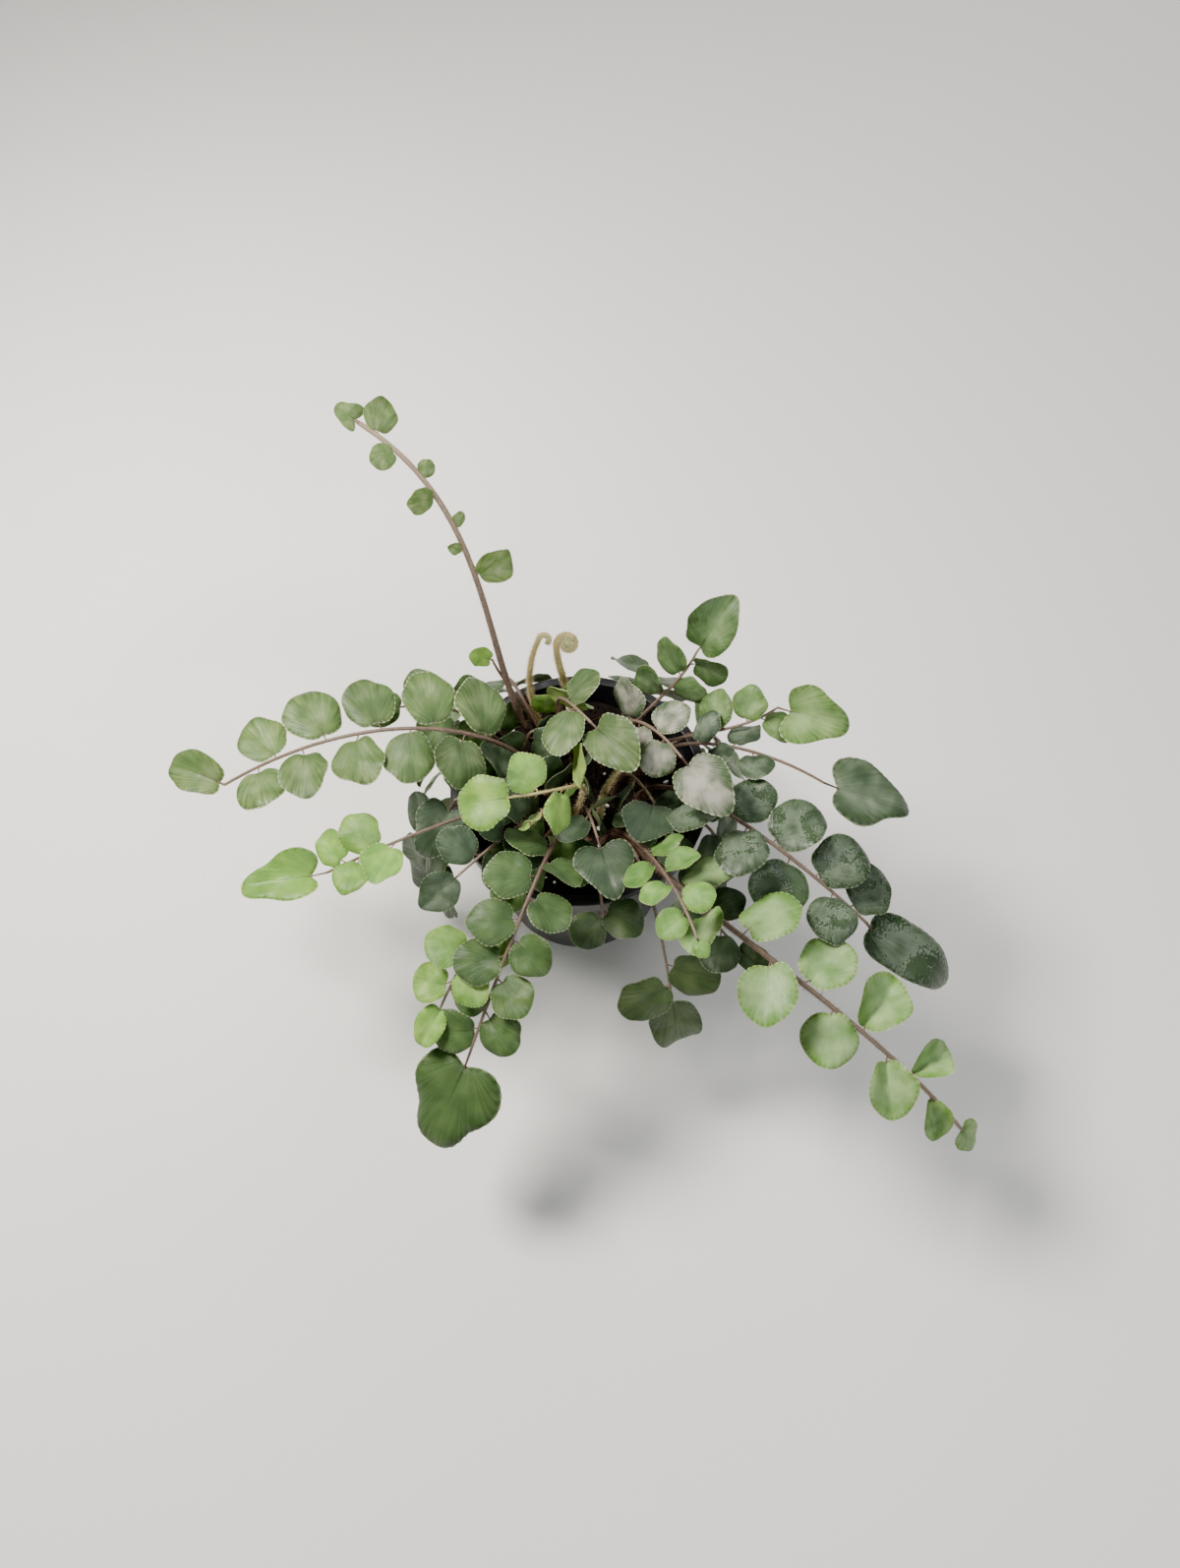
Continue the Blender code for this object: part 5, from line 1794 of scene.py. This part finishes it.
@dataclass
class Pot:
    """The turned nursery pot, with rounded corners, a stacking step and drain holes."""

    rim_drop: float = 9 * MM
    rounding: float = 0.8 * MM
    softness: float = 0.35
    steps: int = 96
    drain_holes: int = 6
    drain_radius: float = 5 * MM
    drain_ring_radius: float = 21 * MM
    drain_sides: int = 32
    sharp_angle: float = math.radians(30)
    finish: PlasticFinish = PlasticFinish()

    @staticmethod
    def wall_radius(height: float) -> float:
        """The wall's outer radius at a height."""
        return POT_FOOT_RADIUS + (POT_TOP_RADIUS - RIM_LIP - POT_FOOT_RADIUS) * height / POT_HEIGHT

    def outline(self) -> list[tuple[float, float]]:
        """Draws half of the pot's section.

        Returns:
            The radius and height of each corner, from the middle of the floor over the rim to the base.
        """
        inner_top = self.wall_radius(POT_HEIGHT) - POT_WALL
        band_foot = POT_HEIGHT - self.rim_drop
        return [
            (0, POT_FLOOR),
            (POT_FOOT_RADIUS - POT_WALL, POT_FLOOR),
            (inner_top, POT_HEIGHT),
            (POT_TOP_RADIUS - self.rounding, POT_HEIGHT),
            (POT_TOP_RADIUS, POT_HEIGHT - self.rounding),
            (POT_TOP_RADIUS - self.rounding, band_foot),
            (self.wall_radius(band_foot), band_foot - self.rounding),
            (POT_FOOT_RADIUS, self.rounding),
            (POT_FOOT_RADIUS - self.rounding, 0),
            (0, 0),
        ]

    def build(self) -> bpy.types.Object:
        """Builds and dresses the pot.

        Returns:
            The piece.
        """
        shape = bmesh.new()
        corners = [shape.verts.new((radius, 0, height)) for radius, height in self.outline()]
        for pair in zip(corners, corners[1:]):
            shape.edges.new(pair)
        bmesh.ops.bevel(
            shape, geom=corners[2:-2], affect="VERTICES", offset=self.softness * self.rounding, segments=3,
            profile=0.5, material=-1,
        )
        spin_closed(shape, self.steps)
        smooth(shape, self.sharp_angle)
        pot = new_piece("fine_pot", shape, [self.finish.material()], "pot")
        self.drill(pot)
        return pot

    def drill(self, pot: bpy.types.Object) -> None:
        """Cuts the drain holes, in the places of the solid's.

        Args:
            pot: The pot.
        """
        drill = bmesh.new()
        for number in range(self.drain_holes):
            angle = FULL_TURN * (number + 0.5) / self.drain_holes
            middle = self.drain_ring_radius * Vector((math.cos(angle), math.sin(angle), 0))
            bmesh.ops.create_cone(
                drill, cap_ends=True, segments=self.drain_sides, radius1=self.drain_radius,
                radius2=self.drain_radius, depth=4 * POT_FLOOR, matrix=Matrix.Translation(middle),
            )
        cutter = new_object("drill", new_mesh("drill", drill))
        cut = pot.modifiers.new("drain", "BOOLEAN")
        cut.operation = "DIFFERENCE"
        cut.object = cutter
        bpy.context.view_layer.update()
        graph = bpy.context.evaluated_depsgraph_get()
        drilled = bpy.data.meshes.new_from_object(pot.evaluated_get(graph))
        pot.modifiers.clear()
        pot.data = drilled
        bpy.data.objects.remove(cutter)


@dataclass
class Peat:
    """The peat that fills the pot: an uneven top, crumbs, fibres, perlite grains and a dry flake."""

    rings: int = 26
    steps: int = 96
    edge_gap: float = 0.3 * MM
    scatter_gap: float = 2.5 * MM
    unevenness: float = 1.6 * MM
    roughness_size: float = 9 * MM
    sunk: float = 0.2
    lumpiness: float = 0.45
    lump_tilt: float = 0.6
    lump_breadth: tuple[float, float] = (0.6, 1.0)
    lump_height: tuple[float, float] = (0.5, 0.85)
    crumbs: int = 620
    crumb_radius: tuple[float, float] = (0.4 * MM, 1.5 * MM)
    grains: int = 46
    grain_radius: tuple[float, float] = (0.5 * MM, 1.1 * MM)
    fibres: int = 70
    fibre_length: tuple[float, float] = (3 * MM, 9 * MM)
    fibre_radius: float = 0.16 * MM
    fibre_bend: tuple[float, float] = (-0.25, 0.25)
    fibre_arch: tuple[float, float] = (0.35 * MM, 0.3 * MM)
    raised: float = 0.3 * MM
    flake_place: Vector = field(default_factory=lambda: mm(13, -24, 75))
    flake_size: tuple[float, float] = (5.5 * MM, 2.4 * MM)
    flake_curl: tuple[float, float, float] = (0.25 * MM, 0.5 * MM, 0.4 * MM)
    flake_taper: float = 0.35
    flake_turn: float = math.radians(22)
    sharp_angle: float = math.radians(40)

    def level(self, across: float, back: float) -> float:
        """How high the top of the peat lies at a place."""
        place = Vector((across, back, 0)) / self.roughness_size
        return SOIL_LEVEL + self.unevenness * (noise.noise(place) + 0.4 * noise.noise(3 * place))

    def bed(self) -> bmesh.types.BMesh:
        """Turns the body of the peat and makes its top uneven.

        Returns:
            The closed mesh.
        """
        foot = POT_FLOOR + TOUCHING_GAP
        inner = POT_WALL + TOUCHING_GAP
        edge = Pot.wall_radius(SOIL_LEVEL) - inner - self.edge_gap
        profile = [(edge * step / self.rings, SOIL_LEVEL) for step in range(self.rings + 1)]
        profile += [(Pot.wall_radius(foot) - inner, foot), (0, foot)]
        shape = bmesh.new()
        corners = [shape.verts.new((radius, 0, height)) for radius, height in profile]
        for pair in zip(corners, corners[1:]):
            shape.edges.new(pair)
        spin_closed(shape, self.steps)
        for vert in shape.verts:
            if vert.co.z > foot + MM:
                vert.co.z = self.level(vert.co.x, vert.co.y)
        return shape

    def scattered(self, chance: random.Random) -> Vector:
        """Draws a place on the top of the peat.

        Args:
            chance: The source of the draw.

        Returns:
            The place.
        """
        reach = Pot.wall_radius(SOIL_LEVEL) - POT_WALL - self.scatter_gap
        radius = reach * math.sqrt(chance.random())
        angle = chance.uniform(0, FULL_TURN)
        across, back = radius * math.cos(angle), radius * math.sin(angle)
        return Vector((across, back, self.level(across, back)))

    def lump(self, place: Vector, radius: float, fineness: int, chance: random.Random) -> bmesh.types.BMesh:
        """Shapes a crumb or a grain.

        Args:
            place: Where it lies.
            radius: Its size.
            fineness: The subdivisions of its ball.
            chance: The source of its draws.

        Returns:
            The mesh, in place.
        """
        shape = bmesh.new()
        bmesh.ops.create_icosphere(shape, subdivisions=fineness, radius=radius)
        shift = Vector([chance.uniform(-50, 50) for _ in range(3)])
        for vert in shape.verts:
            vert.co *= 1 + self.lumpiness * noise.noise(vert.co / radius + shift)
        turn = Matrix.Rotation(chance.uniform(0, FULL_TURN), 4, "Z")
        tilt = Matrix.Rotation(chance.uniform(-self.lump_tilt, self.lump_tilt), 4, "X")
        flat = Matrix.Diagonal(
            (1, chance.uniform(*self.lump_breadth), chance.uniform(*self.lump_height), 1)
        )
        stand = Matrix.Translation(place + self.sunk * radius * UP)
        bmesh.ops.transform(shape, matrix=stand @ turn @ tilt @ flat, verts=shape.verts)
        return shape

    def fibre(self, place: Vector, chance: random.Random) -> bmesh.types.BMesh:
        """Lays a bent fibre on the peat.

        Args:
            place: Where its middle lies.
            chance: The source of its draws.

        Returns:
            The mesh, in place.
        """
        length = chance.uniform(*self.fibre_length)
        shape = bmesh.new()
        bmesh.ops.create_cone(
            shape, cap_ends=True, segments=4, radius1=self.fibre_radius, radius2=0.5 * self.fibre_radius,
            depth=length, matrix=Matrix.Rotation(0.5 * math.pi, 4, "Y"),
        )
        rails = [edge for edge in shape.edges if edge.calc_length() > 0.5 * length]
        bmesh.ops.subdivide_edges(shape, edges=rails, cuts=3)
        bend = chance.uniform(*self.fibre_bend) * length
        for vert in shape.verts:
            share = 2 * vert.co.x / length
            vert.co.y += bend * share * share
            vert.co.z += self.fibre_arch[0] - self.fibre_arch[1] * share * share
        turn = Matrix.Rotation(chance.uniform(0, FULL_TURN), 4, "Z")
        stand = Matrix.Translation(place + self.raised * UP)
        bmesh.ops.transform(shape, matrix=stand @ turn, verts=shape.verts)
        return shape

    def flake(self) -> bmesh.types.BMesh:
        """Shapes the dry, straw-coloured flake that lies among the stems.

        Returns:
            The mesh, in place.
        """
        shape = new_ball(segments=14, rings=7, radius=0.5)
        length, width = self.flake_size
        thick, cupped, curled = self.flake_curl
        for vert in shape.verts:
            along = 2 * vert.co.x
            vert.co.z = thick * vert.co.z + cupped * (vert.co.y * 2) ** 2 + curled * along * along
            vert.co.y *= width * (1 - self.flake_taper * along)
            vert.co.x *= length
        turn = Matrix.Rotation(self.flake_turn, 4, "Z")
        bmesh.ops.transform(shape, matrix=Matrix.Translation(self.flake_place) @ turn, verts=shape.verts)
        return shape

    def build(self) -> bpy.types.Object:
        """Builds and dresses the peat with all that lies on it.

        Returns:
            The piece.
        """
        chance = random.Random(SEED)
        whole = self.bed()
        crumbs = [
            self.lump(self.scattered(chance), chance.uniform(*self.crumb_radius), 1, chance)
            for _ in range(self.crumbs)
        ]
        grains = [
            self.lump(
                self.scattered(chance) + self.raised * UP, chance.uniform(*self.grain_radius), 2, chance
            )
            for _ in range(self.grains)
        ]
        fibres = [self.fibre(self.scattered(chance), chance) for _ in range(self.fibres)]
        for number, shapes in enumerate((crumbs, grains, fibres, [self.flake()])):
            for shape in shapes:
                for face in shape.faces:
                    face.material_index = number
                absorb(whole, shape)
        smooth(whole, self.sharp_angle)
        materials = [finish.material() for finish in (PEAT, PERLITE, FIBRE, STRAW)]
        return new_piece("fine_soil", whole, materials, "soil")


AIM = mm(3.6, 0, 82)


@dataclass(frozen=True)
class Lamp:
    """A soft square light, aimed at a point, with its power in watts and its beam's angle in degrees."""

    name: str
    place: Vector
    size: float
    power: float
    colour: str
    aim: Vector = AIM
    spread: float = 180


LAMPS = (
    Lamp("key", mm(-340, 110, 660), 0.2, 16.5, "fffaf2"),
    Lamp("fill", mm(420, -420, 560), 0.6, 4.2, "f4f6ff"),
    Lamp("back", mm(560, 900, 800), 0.6, 9.0, "ffffff"),
    Lamp("accent", mm(260, -430, 560), 0.12, 0.3, "fffdf8", mm(-80, 70, 200), 32),
)


@dataclass(frozen=True)
class Studio:
    """The plain pale floor, the soft lights and the camera at the photograph's angle."""

    distance: float = 430 * MM
    elevation: float = math.radians(62)
    lens: float = 27.06
    clip: tuple[float, float] = (0.01, 20.0)
    floor_radius: float = 3.0
    floor_sides: int = 96
    floor_colours: tuple[str, str] = ("eeede9", "f4f3f0")
    world_colour: str = "eceae6"
    world_strength: float = 0.24

    def camera(self) -> bpy.types.Object:
        """Sets the camera at the photograph's angle.

        Returns:
            The camera.
        """
        data = bpy.data.cameras.new("camera")
        data.lens = self.lens
        data.clip_start, data.clip_end = self.clip
        camera = new_object("camera", data)
        back = Vector((0, -math.cos(self.elevation), math.sin(self.elevation)))
        camera.location = AIM + self.distance * back
        camera.rotation_euler = (0.5 * math.pi - self.elevation, 0, 0)
        bpy.context.scene.camera = camera
        return camera

    def light(self, lamp: Lamp) -> bpy.types.Object:
        """Hangs one lamp.

        Args:
            lamp: The lamp.

        Returns:
            The light.
        """
        data = bpy.data.lights.new(lamp.name, "AREA")
        data.size = lamp.size
        data.energy = lamp.power
        data.color = linear(lamp.colour)[:3]
        data.spread = math.radians(lamp.spread)
        light = new_object(lamp.name, data)
        light.location = lamp.place
        light.rotation_euler = (lamp.aim - lamp.place).to_track_quat("-Z", "Y").to_euler()
        return light

    def floor(self) -> bpy.types.Object:
        """Lays the floor: matt painted board.

        Returns:
            The floor.
        """
        shape = bmesh.new()
        bmesh.ops.create_circle(shape, cap_ends=True, segments=self.floor_sides, radius=self.floor_radius)
        floor = new_object("floor", new_mesh("floor", shape))
        recipe = Recipe("floor_matt", {"Roughness": 0.9})
        place = recipe.add("TexCoord").outputs["Object"]
        mottle = recipe.add("TexNoise", {"Scale": 3.0, "Detail": 2.0}, {"Vector": place})
        dark, light = (linear(colour) for colour in self.floor_colours)
        tone = recipe.add("Mix", {**BLEND, "A": dark, "B": light}, {"Factor": mottle})
        floor.data.materials.append(recipe.finish({"Base Color": tone}))
        floor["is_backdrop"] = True
        return floor

    def build(self) -> None:
        """Sets the camera, the floor, the lights and the sky."""
        self.camera()
        self.floor()
        for lamp in LAMPS:
            self.light(lamp)
        world = bpy.data.worlds.new("sky")
        world.use_nodes = True
        background = world.node_tree.nodes["Background"]
        background.inputs["Color"].default_value = linear(self.world_colour)
        background.inputs["Strength"].default_value = self.world_strength
        bpy.context.scene.world = world
        bpy.context.scene.view_settings.look = "AgX - Punchy"


def main() -> None:
    """Builds the studio, the pot, the peat and the plant."""
    logging.basicConfig(level=logging.INFO, format="%(name)s: %(message)s")
    Studio().build()
    log.info("studio set")
    pieces = [Pot().build(), Peat().build()]
    pieces.extend(Plant(FRONDS).build_all())
    for piece in pieces:
        log.info("%s: %d faces", piece.name, len(piece.data.polygons))
    boxes = {"cad": CAD_BOX, "visual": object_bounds()}
    {name: [list(corner) for corner in box] for name, box in boxes.items()}


if __name__ == "__main__":
    main()
